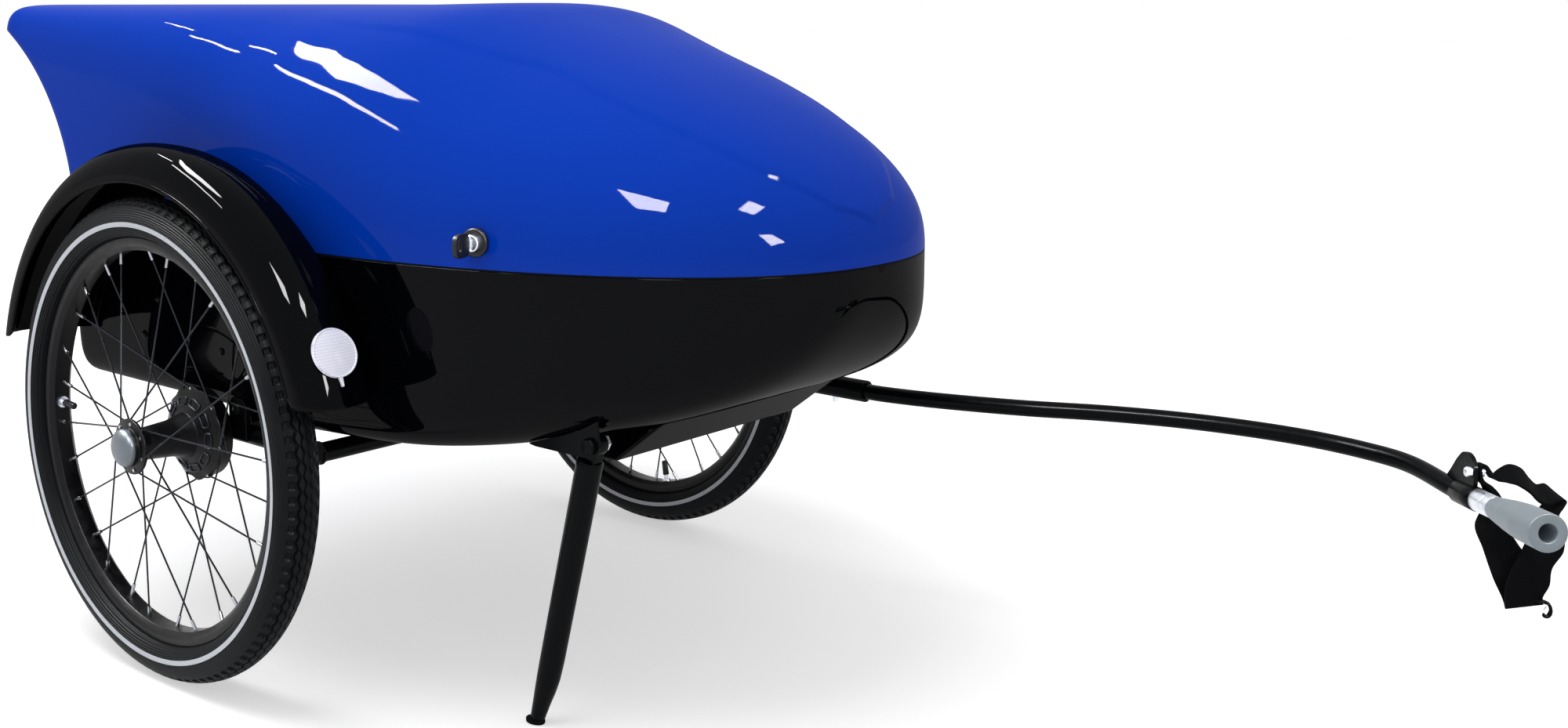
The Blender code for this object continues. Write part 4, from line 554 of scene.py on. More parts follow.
# %% The lid
PANEL_PLACES = (0.020, 0.091, 0.170, 0.229, 0.282, 0.346, 0.404, 0.457, 0.517, 0.572, 0.614, 0.629)
PANEL_SHARES = (0.670, 0.660, 0.636, 0.611, 0.579, 0.502, 0.545, 0.556, 0.567, 0.563, 0.457, 0.0)
PANEL_RISE = 0.0022
PANEL_EDGE = 0.010
LIP_START = 0.240


def outward_normals(grid):
    """Unit normals of a grid, from the cross product of its two differences, pointing away from its middle."""
    normal = np.cross(np.gradient(grid, axis=0), np.gradient(grid, axis=1))
    normal /= np.maximum(np.linalg.norm(normal, axis=-1, keepdims=True), 1e-12)
    flip = np.sum(normal * (grid - grid.reshape(-1, 3).mean(axis=0)), axis=-1, keepdims=True) < 0
    return np.where(flip, -normal, normal)


def lid_grid():
    """The lid's sections with the panel raised, and the rear drawn back into a lip.

    The lip's reach is 0.150 times the square of the rise plus 0.0616 times its seventh power, both up to 0.874.
    """
    grid = hull_grid(lid_height, lid_power, LID_BASE, 1.0, 0.030)
    x = grid[..., 0]
    width = np.maximum(half_width(x), 1e-4)
    edge = eased(lambda place: np.interp(place, PANEL_PLACES, PANEL_SHARES), x, 0.040)
    inside = (edge - np.abs(grid[..., 1]) / width) * width
    raised = (grid[..., 2] - LID_BASE) / LID_RISE
    rise = PANEL_RISE * smooth_step(inside / PANEL_EDGE + 0.5) * smooth_step((x - 0.03) / 0.16)
    rise = rise * smooth_step((0.632 - x) / 0.010) * smooth_step(raised / 0.06)
    grid = grid + outward_normals(grid) * rise[..., None]
    level = np.minimum(raised, 0.874)
    fade = smooth_step((REAR + LIP_START - grid[..., 0]) / LIP_START)
    grid[..., 0] -= (0.150 * level ** 2 + 0.0616 * level ** 7) * fade
    return grid


surface("lid_shell", lid_grid(), "blue_gelcoat", "lid", wall=SHELL_WALL, replaces="lid", sharp=60.0)

# %% [markdown]
# The tub has the same outline turned downwards, and a shallow keel box under its floor that takes the
# frame's cross tube. The keel is a flat outline given a width, with its long edges rounded.

# %% The tub and its keel
KEEL_FLOOR = 0.2561
KEEL_WIDTH = 0.274
tub_grid = hull_grid(tub_depth, tub_power, TUB_TOP, -1.0, 0.028)
surface("tub_shell", tub_grid, "black_gelcoat", wall=SHELL_WALL, replaces="tub", sharp=60.0)
keel_places = np.linspace(0.486, 0.110, 24)
keel_outline = np.vstack(((0.110, KEEL_FLOOR), (0.424, KEEL_FLOOR),
                          np.column_stack((keel_places, TUB_TOP - tub_depth(keel_places) + SHELL_WALL / 2))))
flat_piece("keel_box", keel_outline, KEEL_WIDTH, 0.0025, frame_at((0.0, 0.0, 0.0), (0.0, -1.0, 0.0)), "black_gelcoat")

# %% [markdown]
# A rubber seal closes the gap between the two halves. Its path is the tub's own edge, read at even
# steps and moved inwards along each place's normal, which is the direction of travel turned a quarter.

# %% The seal in the seam
SEAL_RADIUS = 0.0019
SEAL_INSET = 0.0018


def running_length(line):
    """How far along a line each of its points is."""
    return np.concatenate(([0.0], np.cumsum(np.linalg.norm(np.diff(line, axis=0), axis=1))))


def even_steps(line, count, endpoint=True):
    """A line of rows whose first three numbers are places, read at even steps of its length."""
    length = running_length(line[:, :3])
    steps = np.linspace(0.0, length[-1], count, endpoint=endpoint)
    return np.stack([np.interp(steps, length, column) for column in line.T], axis=1)


edge_line = np.vstack((tub_grid[:-1, 0], tub_grid[:0:-1, -1], tub_grid[:1, 0]))
edge_line = even_steps(edge_line, 480, endpoint=False)
edge_ahead = unit(np.roll(edge_line, -1, axis=0) - np.roll(edge_line, 1, axis=0))
inwards = np.column_stack((-edge_ahead[:, 1], edge_ahead[:, 0], np.zeros(len(edge_ahead))))
seal_line = edge_line * (1.0, 1.0, 0.0) + inwards * SEAL_INSET + (0.0, 0.0, SEAM_HEIGHT)
swept("seam_seal", seal_line, SEAL_RADIUS, "seal_rubber", sides=12, closed=True)

# %% [markdown]
# The wheels are 20-inch cargo wheels. Everything in one is turned round its own axis, which the wheel's
# frame has as z. The tyre is the piece that needs care: its tread has zigzag grooves between round
# ribs, and comb-like blocks at the shoulders, all cut into the casing by a depth worked out on a grid.

# %% A wheel's frame and its tyre
TYRE_CENTRE = 0.2265
TYRE_RADIUS = 0.0235
TYRE_INSIDE = 0.0203
TREAD_PITCHES = 108
ROWS_PER_PITCH = 8
GROOVE_PLACES = (-0.0098, -0.0034, 0.0034, 0.0098)
MIRROR = (1.0, -1.0)


def wheel_frame(way, turn_deg):
    """A wheel's axes and middle: z points away from the trailer and x to the valve."""
    axes, origin = frame_at((0.0, way * TRACK / 2, AXLE_HEIGHT), (0.0, way, 0.0))
    c, s = math.cos(math.radians(turn_deg)), math.sin(math.radians(turn_deg))
    return np.array(((c, s, 0.0), (-s, c, 0.0), (0.0, 0.0, 1.0))) @ axes, origin


def tread_depth(turn, arc):
    """How deep the tread is cut at a turn (in pitches) and an arc from the crown (in metres).

    A groove follows a triangle wave of 1.4 mm each way; its depth falls from 2.2 mm to none over 0.6 mm.
    At the shoulders, just under half of every pitch is cut, between 13.2 and 19.8 mm from the crown.
    """
    wave = 2.0 * np.abs(2.0 * (turn % 1.0) - 1.0) - 1.0
    depth = np.zeros(np.broadcast(turn, arc).shape)
    for number, groove in enumerate(GROOVE_PLACES):
        way = 1.0 if number % 2 else -1.0
        off = np.abs(arc - groove - 0.0014 * way * wave)
        depth = np.maximum(depth, 0.0022 * (1.0 - smooth_step((off - 0.0007) / 0.0006)))
    comb = ((turn + 0.25) % 1.0 < 0.45) * smooth_step((np.abs(arc) - 0.0132) / 0.0008)
    comb = comb * (1.0 - smooth_step((np.abs(arc) - 0.0188) / 0.0010))
    return np.maximum(depth, 0.0019 * comb)


def tyre_grid():
    """The closed section carried round: the casing's circle less the tread's depth, then beads and inside."""
    side_angles = np.radians(np.linspace(125.0, 56.0, 10)[:-1])
    tread_angles = np.radians(np.linspace(56.0, -56.0, 61))
    angle = np.concatenate((side_angles, tread_angles, -side_angles[::-1]))[None]
    rows = TREAD_PITCHES * ROWS_PER_PITCH
    turn = (np.arange(rows) / ROWS_PER_PITCH)[:, None]
    reach = TYRE_RADIUS - tread_depth(turn, TYRE_RADIUS * angle)
    lower = mm((210.3, -14), (210.1, -11.1), (204.8, -10.9), (204.8, -7.8), (210.5, -9.8))
    within = np.radians(np.linspace(-115.0, 115.0, 8))
    inner = np.column_stack((TYRE_CENTRE + TYRE_INSIDE * np.cos(within), TYRE_INSIDE * np.sin(within)))
    rest = np.vstack((lower, inner, lower[::-1] * MIRROR))
    radius, side = (np.hstack((cut, np.broadcast_to(column, (rows, len(rest)))))
                    for cut, column in zip((TYRE_CENTRE + reach * np.cos(angle), reach * np.sin(angle)), rest.T))
    return polar(radius, turn * math.tau / TREAD_PITCHES, side)


WHEELS = {"right": (-1.0, wheel_frame(-1.0, 177.0)), "left": (1.0, wheel_frame(1.0, -100.0))}
tyre_points = tyre_grid()
stripe_angles = np.radians(np.linspace(90.5, 102.5, 6))
for name, (way, at) in WHEELS.items():
    surface(f"{name}_tyre_tread", into(at, tyre_points), "tyre_rubber", f"{name}_wheel", ring=True, around=True,
            replaces=f"{name}_tyre", sharp=35.0)
    for face, sign in (("outer", 1.0), ("inner", -1.0)):
        arc = [(TYRE_CENTRE + reach * math.cos(a), sign * reach * math.sin(a))
               for reach, order in ((TYRE_RADIUS + 0.0003, 1), (TYRE_RADIUS - 0.0004, -1))
               for a in stripe_angles[::order]]
        turned(f"{name}_{face}_stripe", arc, at, "band", f"{name}_wheel", steps=160)

# %% [markdown]
# The rim is a rolled alloy channel with a fine step turned along its flank. The hub is turned too: a
# small flange outside, a slim barrel, and a wide brake-style drum inside, whose flange is scalloped
# between its spoke holes and whose face carries ten raised oblong loops.

# %% Rims and hubs
RIM_HALF = mm((209.5, 13.5), (209.5, 11.7), (204, 11.5), (203.7, 7.2), (198, 4.5))
RIM_FLANK = mm((203, 13.5), (202.2, 12.9), (201, 12.8), (196.2, 8.4))
RIM_PROFILE = np.vstack((RIM_HALF, RIM_HALF[::-1] * MIRROR, RIM_FLANK * MIRROR, RIM_FLANK[::-1]))
HUB_PROFILE = mm(
    (19.5, 40), (19.5, 35.6), (28.5, 35), (28.5, 31.8), (17.5, 28.4), (16.5, 20), (19, -10), (23.5, -28),
    (38.5, -33.5), (45, -37), (50, -38.9), (50, -42.1), (46.5, -42.5), (46.5, -55), (43.5, -55), (43.5, -38.5),
    (14.3, -38.5), (14.3, -30.2), (8.5, -30.2), (8.5, 26.7), (14.3, 26.7), (14.3, 35.2), (17.8, 35.2), (17.8, 40))
LOOPS = 10
LOOP_PLACE = 0.0355
SPOKES_A_SIDE = 14


def squared(wave, power):
    """A sine or cosine made squarer: its sign times its size to a power."""
    return np.sign(wave) * np.abs(wave) ** power


def hub_grid():
    """The hub's profile carried round; where its radius is over 48.5 mm it dips by up to 2 mm, 14 times."""
    profile = rounded(HUB_PROFILE, 0.0009)
    around = turns(168)[:, None]
    wave = 0.0010 * (np.cos(SPOKES_A_SIDE * (around - math.tau * 0.75 / SPOKES_A_SIDE)) - 1.0)
    radius = profile[None, :, 0]
    return polar(radius + np.where(radius > 0.0485, wave, 0.0), around, profile[:, 1])


def drum_loops():
    """Ten closed paths on the drum's cone: oblongs of 7.6 by 15.6 mm round a place 35.5 mm from the axis."""
    q = turns(40)[None]
    radius = LOOP_PLACE + squared(np.cos(q), 0.4) * 0.0038
    angle = turns(LOOPS)[:, None] + squared(np.sin(q), 0.4) * 0.0078 / LOOP_PLACE
    return polar(radius, angle, -0.0276 - (radius - 0.0235) * 0.0055 / 0.0150)


for name, (way, at) in WHEELS.items():
    body = f"{name}_wheel"
    turned(f"{name}_rim_band", rounded(RIM_PROFILE, 0.0006, 3), at, "black_alloy", body, steps=200,
           replaces=f"{name}_rim", sharp=50.0)
    surface(f"{name}_hub_shell", into(at, hub_grid()), "black_alloy", body, ring=True, around=True,
            replaces=f"{name}_hub", sharp=50.0)
    loops = sweep_grid(into(at, drum_loops()), 0.0011, 10, up=at[0][2], closed=True)
    surface(f"{name}_drum_loops", loops, "spoke", body, ring=True, around=True)

# %% [markdown]
# Each wheel is laced with 28 spokes that cross two others. A spoke runs from its hole in a flange to
# its nipple in the rim, and its head shows as a small bright disc on the flange. Nipples and heads are
# short bars too, one mesh for each kind.

# %% Spokes, nipples and heads
SPOKE_SEAT = 0.1965


def spoke_ends():
    """Each spoke's two ends: its hole's angle, and that angle plus or minus two places on the rim."""
    index = np.arange(SPOKES_A_SIDE)
    way = np.where(index % 2 == 0, 1.0, -1.0)
    starts, seats = [], []
    for flange, hole_radius, rim_offset, shift in ((0.0334, 0.0240, 0.0025, 0.0), (-0.0405, 0.0470, -0.0025, 0.5)):
        hole = math.tau * (index + shift + 0.25) / SPOKES_A_SIDE
        starts.append(polar(hole_radius, hole, flange + way * 0.0019))
        seats.append(polar(SPOKE_SEAT, hole + way * 2.0 * math.tau / SPOKES_A_SIDE, rim_offset))
    return np.concatenate(starts), np.concatenate(seats)


spoke_start, spoke_seat = spoke_ends()
spoke_way = unit(spoke_seat - spoke_start)
for name, (way, at) in WHEELS.items():
    body = f"{name}_wheel"
    rods(f"{name}_spoke_set", into(at, spoke_start), into(at, spoke_seat), 0.0010, "spoke", body)
    rods(f"{name}_nipples", into(at, spoke_seat - spoke_way * 0.0120), into(at, spoke_seat + spoke_way * 0.0010),
         0.0019, "steel", body, sides=10)
    rods(f"{name}_spoke_heads", into(at, spoke_start + (0.0, 0.0, 0.0001)),
         into(at, spoke_start + (0.0, 0.0, 0.0011)), 0.0017, "steel", body, sides=12)

# %% [markdown]
# A satin cap closes the outer end of each hub, and a valve stands in each rim: a bright nut at its
# root and a black cap on its end. The satin cap is a shallow dome, nearly a quarter of an ellipse turned.

# %% Dust caps and valves
CAP_RADIUS = 0.0192
CAP_FOOT = 0.0416
VALVE_REACH = 0.1693
cap_turn = np.linspace(0.0, math.pi / 2, 16)
cap_dome = np.column_stack((CAP_RADIUS * np.sin(cap_turn) ** 0.9, CAP_FOOT + 0.0088 * np.cos(cap_turn)))
cap_profile = np.vstack((cap_dome, mm((19.2, 40.3), (17.5, 40.3), (17.5, 36), (16.3, 36), (15, 46), (0, 48))))
valve_cover = rounded(mm((0, 0), (2.6, 0), (3.6, 1), (4.2, 19), (0, 19)), 0.0006, 3)
valve_stem = mm((0, 18), (3, 18), (3, 24), (6.2, 24), (6.2, 27.8), (3, 27.8), (3, 42), (0, 42))
for name, (way, at) in WHEELS.items():
    body = f"{name}_wheel"
    turned(f"{name}_cap_dome", cap_profile, at, "grey_cap", body, replaces=f"{name}_dust_cap")
    stem = frame_at(into(at, (VALVE_REACH, 0.0, 0.0)), at[0][0])
    turned(f"{name}_valve_cap", valve_cover, stem, "black_plastic", body, steps=32, replaces=f"{name}_valve")
    turned(f"{name}_valve_stem", valve_stem, stem, "zinc", body, steps=32)

# %% [markdown]
# The mudguards are moulded, gloss black, and bolted to the hull's side by a flange. Their section is a
# rounded arch whose outer edge is rolled to a lip. Each column of the grid starts and ends where its
# own radius meets the cut line, and near the outer edge that line is lifted along a quarter circle.

# %% Mudguards
GUARD_SECTION = mm((390, 265.5), (389.3, 277.5), (384.5, 288.5), (376, 297.5), (362, 302.8), (344, 302.2),
                   (324, 295.5), (302, 274.5))
GUARD_ROWS = 150
FLANGE_COLUMNS = 7
GUARD_CUT = 0.327
GUARD_CORNER = 0.014
CURVE_STEPS = 24


def smooth_through(points, count, closed=False):
    """A smooth curve through rows of numbers: each stretch is a cubic whose slopes come from the
    neighbours at both sides, and the curve is then read at even steps of its length."""
    points = np.asarray(points, float)
    if closed:
        padded = np.vstack((points[-1:], points, points[:2]))
    else:
        padded = np.vstack((2 * points[0] - points[1], points, 2 * points[-1] - points[-2]))
    knots = np.concatenate(([0.0], np.cumsum(np.sqrt(np.linalg.norm(np.diff(padded[:, :3], axis=0), axis=1)))))

    def between(first, second, start, end, t):
        return ((end - t) * first + (t - start) * second) / (end - start)

    pieces = []
    for i in range(1, len(padded) - 2):
        t0, t1, t2, t3 = knots[i - 1:i + 3]
        t = np.linspace(t1, t2, CURVE_STEPS, endpoint=False)[:, None]
        a1 = between(padded[i - 1], padded[i], t0, t1, t)
        a2 = between(padded[i], padded[i + 1], t1, t2, t)
        a3 = between(padded[i + 1], padded[i + 2], t2, t3, t)
        pieces.append(between(between(a1, a2, t0, t2, t), between(a2, a3, t1, t3, t), t1, t2, t))
    return even_steps(np.vstack(pieces + [padded[-2:-1]]), count)


def guard_grid(way):
    """Rows run over the wheel, columns across: x is radius cos, z the axle's height plus radius sin."""
    side, radius = smooth_through(GUARD_SECTION, 44).T
    near = np.clip(1.0 - running_length(np.column_stack((side, radius))) / GUARD_CORNER, 0.0, 1.0)
    lift = np.pad(GUARD_CORNER * (1.0 - np.sqrt(1.0 - near ** 2)), (0, FLANGE_COLUMNS))
    radius = np.concatenate((radius, np.linspace(0.2665, 0.2535, FLANGE_COLUMNS)))[None]
    first = np.arcsin((GUARD_CUT + lift[None] - AXLE_HEIGHT) / radius)
    angle = first + (math.pi - 2.0 * first) * np.linspace(0.0, 1.0, GUARD_ROWS)[:, None]
    x = radius * np.cos(angle)
    z = AXLE_HEIGHT + radius * np.sin(angle)
    beside = side_at(x, z) + 0.0006 + 0.0009 * smooth_step((z - SEAM_HEIGHT + 0.030) / 0.030)
    out = np.where(np.arange(radius.size) < len(side), np.pad(side, (0, FLANGE_COLUMNS)), beside)
    return np.stack((x, way * out, z), axis=-1)


for name, (way, at) in WHEELS.items():
    grid = guard_grid(way)
    bevel(surface(f"{name}_guard_shell", grid, "black_gelcoat", wall=0.0030, replaces=f"{name}_mudguard",
                  sharp=60.0), 0.0010, 2)
    lip = grid[:, 0] + (grid[:, 2] - grid[:, 0]) * 0.4 - np.array((0.0, way * 0.0014, 0.0))
    swept(f"{name}_guard_lip", lip, 0.0024, "black_gelcoat", sides=14, up=(0.0, 1.0, 0.0))

# %% [markdown]
# A round reflector faces forwards from each mudguard. It is a shallow dome of clear acrylic in a thin
# rim, with a small moulded tab under it.

# %% Reflectors
REFLECTOR_TURN = math.radians(24.5)
REFLECTOR_REACH, REFLECTOR_SIDE = 0.3031, 0.3535
LENS = mm((0, 5), (8, 4.8), (16, 4.2), (21.6, 3.4), (22.2, 4), (23.1, 4), (23.5, 3.4), (23.5, 0), (0, 0))
TAB = mm((-2.4, -21.5), (2.4, -21.5), (1, -32), (-1, -32))
radial = np.array((math.cos(REFLECTOR_TURN), 0.0, math.sin(REFLECTOR_TURN)))
for name, (way, at) in WHEELS.items():
    seat = frame_at(radial * REFLECTOR_REACH + (0.0, way * REFLECTOR_SIDE, AXLE_HEIGHT), radial)
    turned(f"{name}_reflector_lens", LENS, seat, "white_reflector", steps=72, replaces=f"{name}_reflector",
           sharp=30.0)
    flat_piece(f"{name}_reflector_tab", TAB, 0.0030, 0.0005, (seat[0], into(seat, (0.0, 0.0, -0.0002))),
               "white_reflector")

# %% [markdown]
# Under the tub runs a small welded frame: the axle tube, a short rail on the right, a cross tube, and on
# the left the long receiver that the tow bar slides into. Each tube is a circle carried along a line,
# and each joint has a bead of weld, a thin ring where the two tubes meet.

# %% The frame's tubes
AXLE_TUBE_HALF = 0.3030
RECEIVER_SIDE = 0.2870
RAIL_SIDE = 0.2910
TUBE_RADIUS = 0.0100
CROSS_PLACE = 0.150
CROSS_HEIGHT = KEEL_FLOOR - 0.0006 - TUBE_RADIUS
swept("axle_tube", ((0.0, -AXLE_TUBE_HALF, AXLE_HEIGHT), (0.0, AXLE_TUBE_HALF, AXLE_HEIGHT)), 0.0110, sides=40,
      replaces="frame")
swept("side_rail", ((-0.010, -RAIL_SIDE, AXLE_HEIGHT), (CROSS_PLACE + 0.010, -RAIL_SIDE, AXLE_HEIGHT)),
      TUBE_RADIUS, sides=40)
swept("cross_tube", ((CROSS_PLACE, -RAIL_SIDE - 0.004, CROSS_HEIGHT), (CROSS_PLACE, RAIL_SIDE + 0.004, CROSS_HEIGHT)),
      TUBE_RADIUS, sides=40)
receiver = rounded(mm((0, 0), (12.5, 0), (12.5, 431), (9.4, 431), (9.4, 251), (0, 251)), 0.0006, 3)
turned("receiver_tube", receiver, frame_at((-0.015, RECEIVER_SIDE, AXLE_HEIGHT), (1.0, 0.0, 0.0)), steps=48)
WELDS = (((0.0118, -RAIL_SIDE, AXLE_HEIGHT), (1.0, 0.0, 0.0), 0.0104),
         ((0.0118, RECEIVER_SIDE, AXLE_HEIGHT), (1.0, 0.0, 0.0), 0.0129),
         ((CROSS_PLACE, 0.0105 - RAIL_SIDE, CROSS_HEIGHT), (0.0, 1.0, 0.0), 0.0104),
         ((CROSS_PLACE, RECEIVER_SIDE - 0.0130, CROSS_HEIGHT), (0.0, 1.0, 0.0), 0.0104))
bead_turn = turns(72)
for number, (place_at, along, bead_radius) in enumerate(WELDS):
    swept(f"weld_bead_{number}", into(frame_at(place_at, along), polar(bead_radius, bead_turn, 0.0)),
          0.0017 + 0.0002 * np.cos(24.0 * bead_turn), sides=12, closed=True, up=along)
LUG = mm((30, -4), (60, -4), (60, 34), (54, 40), (36, 40), (30, 34)) + (0.0, AXLE_HEIGHT)
LUG_BOLT = mm((0, 3.4), (3.4, 3), (5.2, 1.2), (5.6, 0), (0, 0))
lug_side = float(side_at(0.060, AXLE_HEIGHT + 0.040)) + 0.0006
for name, way in (("right", -1.0), ("left", 1.0)):
    seat = frame_at((0.0, way * (lug_side + 0.0035), 0.0), (0.0, -1.0, 0.0))
    flat_piece(f"{name}_hull_lug", LUG, 0.0070, 0.0010, seat)
    bolt = frame_at((0.045, way * (lug_side + 0.0070), AXLE_HEIGHT + 0.029), (0.0, way, 0.0))
    turned(f"{name}_lug_bolt", LUG_BOLT, bolt, steps=32)

# %% [markdown]
# The tow bar is one bent tube: straight in the receiver, bowed out to the left past the bicycle's rear
# wheel, and back in to the hub. A smooth curve through measured places gives its middle line, and a
# thicker end takes the coupling.

# %% The tow bar and the coupling's frame
BAR_RADIUS = 0.0090
SOCKET_RADIUS = 0.0112
BAR_END = np.array((1.0761, 0.3237, 0.2411))
BAR_ROUTE = mm((420, 287, 250), (430, 287, 250), (488, 298, 250), (590, 332, 250), (682, 374, 250),
               (772, 410, 247.8), (868, 429, 245), (935, 424.5, 243.3), (985, 406, 242.5))
COUPLING_TURN, COUPLING_RISE = math.radians(-50.0), math.radians(4.8)
COUPLING_WAY = np.array((math.cos(COUPLING_TURN) * math.cos(COUPLING_RISE),
                         math.sin(COUPLING_TURN) * math.cos(COUPLING_RISE), math.sin(COUPLING_RISE)))
COUPLING = frame_at(BAR_END + COUPLING_WAY * 0.0003, COUPLING_WAY)
SOCKET = BAR_END - COUPLING_WAY * 0.047
bow = smooth_through(np.vstack((BAR_ROUTE, SOCKET)), 130)
step_out = [SOCKET + COUPLING_WAY * d for d in (0.002, 0.004, 0.006, 0.030, 0.0462)]
bar_line = np.vstack(((0.200, RECEIVER_SIDE, AXLE_HEIGHT), bow, step_out, BAR_END - COUPLING_WAY * 0.0003, BAR_END))
bar_radii = np.full(len(bar_line), BAR_RADIUS)
bar_radii[-7:] = (0.0094, 0.0104, 0.0111, SOCKET_RADIUS, SOCKET_RADIUS, 0.0109, 0.0102)
swept("drawbar", bar_line, bar_radii, sides=40, replaces="tow_bar")

# %% [markdown]
# At its end a bright sleeve is pressed into the bar, and a grey cast coupling swivels on that. Both are
# turned shapes; the coupling widens towards its mouth, which is bored for the bicycle's hub fitting.

# %% Sleeve and coupling
sleeve = rounded(mm((0, 36), (10.4, 36), (10.4, 25), (10.1, 24.6), (10.1, 22.8), (10.4, 22.4), (10.4, 0), (0, 0)),
                 0.0005, 3)
turned("pressed_sleeve", sleeve, COUPLING, "zinc", steps=64, replaces="coupling_sleeve")
cast = rounded(mm((0, 53), (8, 53), (8, 98), (16.8, 98), (16.6, 58), (14.6, 34), (12, 12), (10.6, 0), (0, 0)),
               0.0014, 5)
turned("cast_coupling", cast, (COUPLING[0], into(COUPLING, (0.0, 0.0, 0.0363))), "grey_polymer",
       "swivel_coupling", steps=80, replaces="coupling")

# %% [markdown]
# The safety strap loops from a lug on the bar round behind the coupling and back. Each station of its
# route holds the band's middle and a line across it, so the band can twist and narrow where it is
# gathered. A smooth closed curve through the stations gives its grid, and a modifier its thickness.

# %% The safety strap
STRAP_ROUTE = mm(
    (4.6, 24, -13, 0, 0, 12), (6.5, 16.5, -12.5, 0, 0, 14), (11.5, 11.5, -10, 0, 1, 22), (15.2, 2, -6, 2, 4, 28),
    (12.2, -10, -1, 4, 8, 34), (7.8, -19, 1, 6, 14, 34), (16.5, -39.5, 7, 15, 13, 31), (26.4, -64, 15, 33, 8, 12),
    (33.6, -86.1, 17, 31, 6, 6), (33.8, -92, 21, 32, 5, 4), (31.6, -83.8, 25, 32, 3, 3),
    (33.6, -72.3, 26.8, 37, 2, 4), (36.9, -56.5, 27.5, 33, 2, 6), (46.4, -37.8, 28.5, 30, 0, 14),
    (50.8, -20.9, 27, 14, 0, 28), (53.1, -5.9, 22.5, 2, 0, 31), (59, 1.9, 21.5, 0, 0, 31),
    (61.3, 8.8, 21.5, 0, -4, 30), (56, 11.8, 21.5, 0, -9, 29), (47.4, 9.6, 21.5, 0, -13, 27),
    (40, 14, 21, 0, -17, 24), (32.7, 22.2, 20, 0, -18, 22), (24, 26.5, 16.5, 0, -15, 22), (18, 24, 8, 0, -8, 20),
    (14.5, 20, -3, 0, 0, 16), (12.8, 25, -11, 0, 0, 12), (9, 30.5, -13, 0, 0, 12), (5.3, 30, -13, 0, 0, 12))
STRAP_THICKNESS = 0.0024
route = smooth_through(STRAP_ROUTE, 321, closed=True)
route[-1] = route[0]
across = np.linspace(-0.5, 0.5, 19)
band = route[:, None, :3] + route[:, None, 3:] * across[None, :, None]
distance = running_length(route[:, :3])
breadth = np.linalg.norm(route[:, 3:], axis=1)
weave = np.stack((np.broadcast_to(distance[:, None], band.shape[:2]), breadth[:, None] * across[None]), axis=-1)
strap = surface("webbing_loop", into(COUPLING, band), "webbing", wall=STRAP_THICKNESS, offset=0.0,
                replaces="safety_strap", uv=weave, sharp=70.0)

# %% [markdown]
# Its lug is a cut plate welded to the bar, with a domed bolt through the strap's ends. A black wire
# hook hangs in an eyelet at the strap's far fold, and a sprung gate closes the hook.

# %% Lug, bolt, eyelet and hook
lug_outline = rounded(mm((-69, 9.7), (-60, 17), (-45, 31.2), (-33, 39.6), (-21, 40.6), (-12, 37), (-6, 29),
                         (-7, 9.7)), 0.0040)
flat_piece("bar_lug", lug_outline, 0.0040, 0.0008, (COUPLING[0][::-1], COUPLING[1]), replaces="strap_lug")
turned("domed_bolt", mm((0, 8.5), (2.2, 8.3), (4, 7.4), (5, 6), (5, 2.3), (3, 2.3), (3, -6.7), (4.8, -6.7),
                        (4.8, -9.2), (0, -9.2)),
       frame_at(into(COUPLING, (0.0, 0.0238, -0.0130)), -COUPLING[0][0]), "zinc", steps=40, replaces="strap_bolt")
HOOK_RING = np.array((0.0482, -0.0869, 0.0225))
HOOK_OUT = np.array((math.cos(-0.30), math.sin(-0.30), 0.0))
ring_turn = turns(48)[:, None]
ring_line = HOOK_RING + 0.0065 * (HOOK_OUT * np.sin(ring_turn) + np.array(UP) * np.cos(ring_turn))
swept("hook_ring", into(COUPLING, ring_line), 0.0013, sides=14, closed=True, up=(0.4, 0.2, 0.9),
      replaces="snap_hook")
shank = mm((6.2, -1.9, 0), (8.6, -6, 0), (8.8, -10.5, 0), (6.4, -14.2, 0), (3.2, -13.6, 0), (2.6, -11.2, 0))
shank_radii = np.interp(np.linspace(0.0, 1.0, 40), (0.0, 0.3, 0.55, 0.9, 1.0),
                        (0.0015, 0.0015, 0.0021, 0.0017, 0.0008))
swept("hook_shank", into(COUPLING, HOOK_RING + smooth_through(shank, 40)), shank_radii, sides=14,
      up=COUPLING[0][2])
swept("gate_wire", into(COUPLING, HOOK_RING + mm((3, -8.4, 0), (5.1, -5.5, 0))), 0.0009, "zinc", "gate", sides=14,
      replaces="hook_gate")

# %% [markdown]
# The parking stand folds up behind its bolt. Its leg tapers down to a small rubber foot; a flat neck and
# a round eye join it to the pivot, and a pressed bracket under the tub holds that.

# %% Parking stand
STAND_SIDE = -0.200
PIVOT = (0.4605, STAND_SIDE, 0.2915)
KNEE_PLACE, KNEE_HEIGHT = 0.4516, 0.2740
GROUND_PLACE = 0.3815
TAPER = mm((6.5, 7.4), (22, 8.8), (36, 10.4), (50, 11.5), (70, 12), (160, 12.4), (274, 12.8))
LEG_RADIUS = TAPER[-1, 1]
TOWARDS_RIGHT = (0.0, -1.0, 0.0)


def leg_axis(height):
    """The leg's middle line: a straight line from the ground place to the knee."""
    height = np.asarray(height, float)
    place = GROUND_PLACE + (KNEE_PLACE - GROUND_PLACE) * height / KNEE_HEIGHT
    return np.stack((place, np.full_like(height, STAND_SIDE), height), axis=-1)


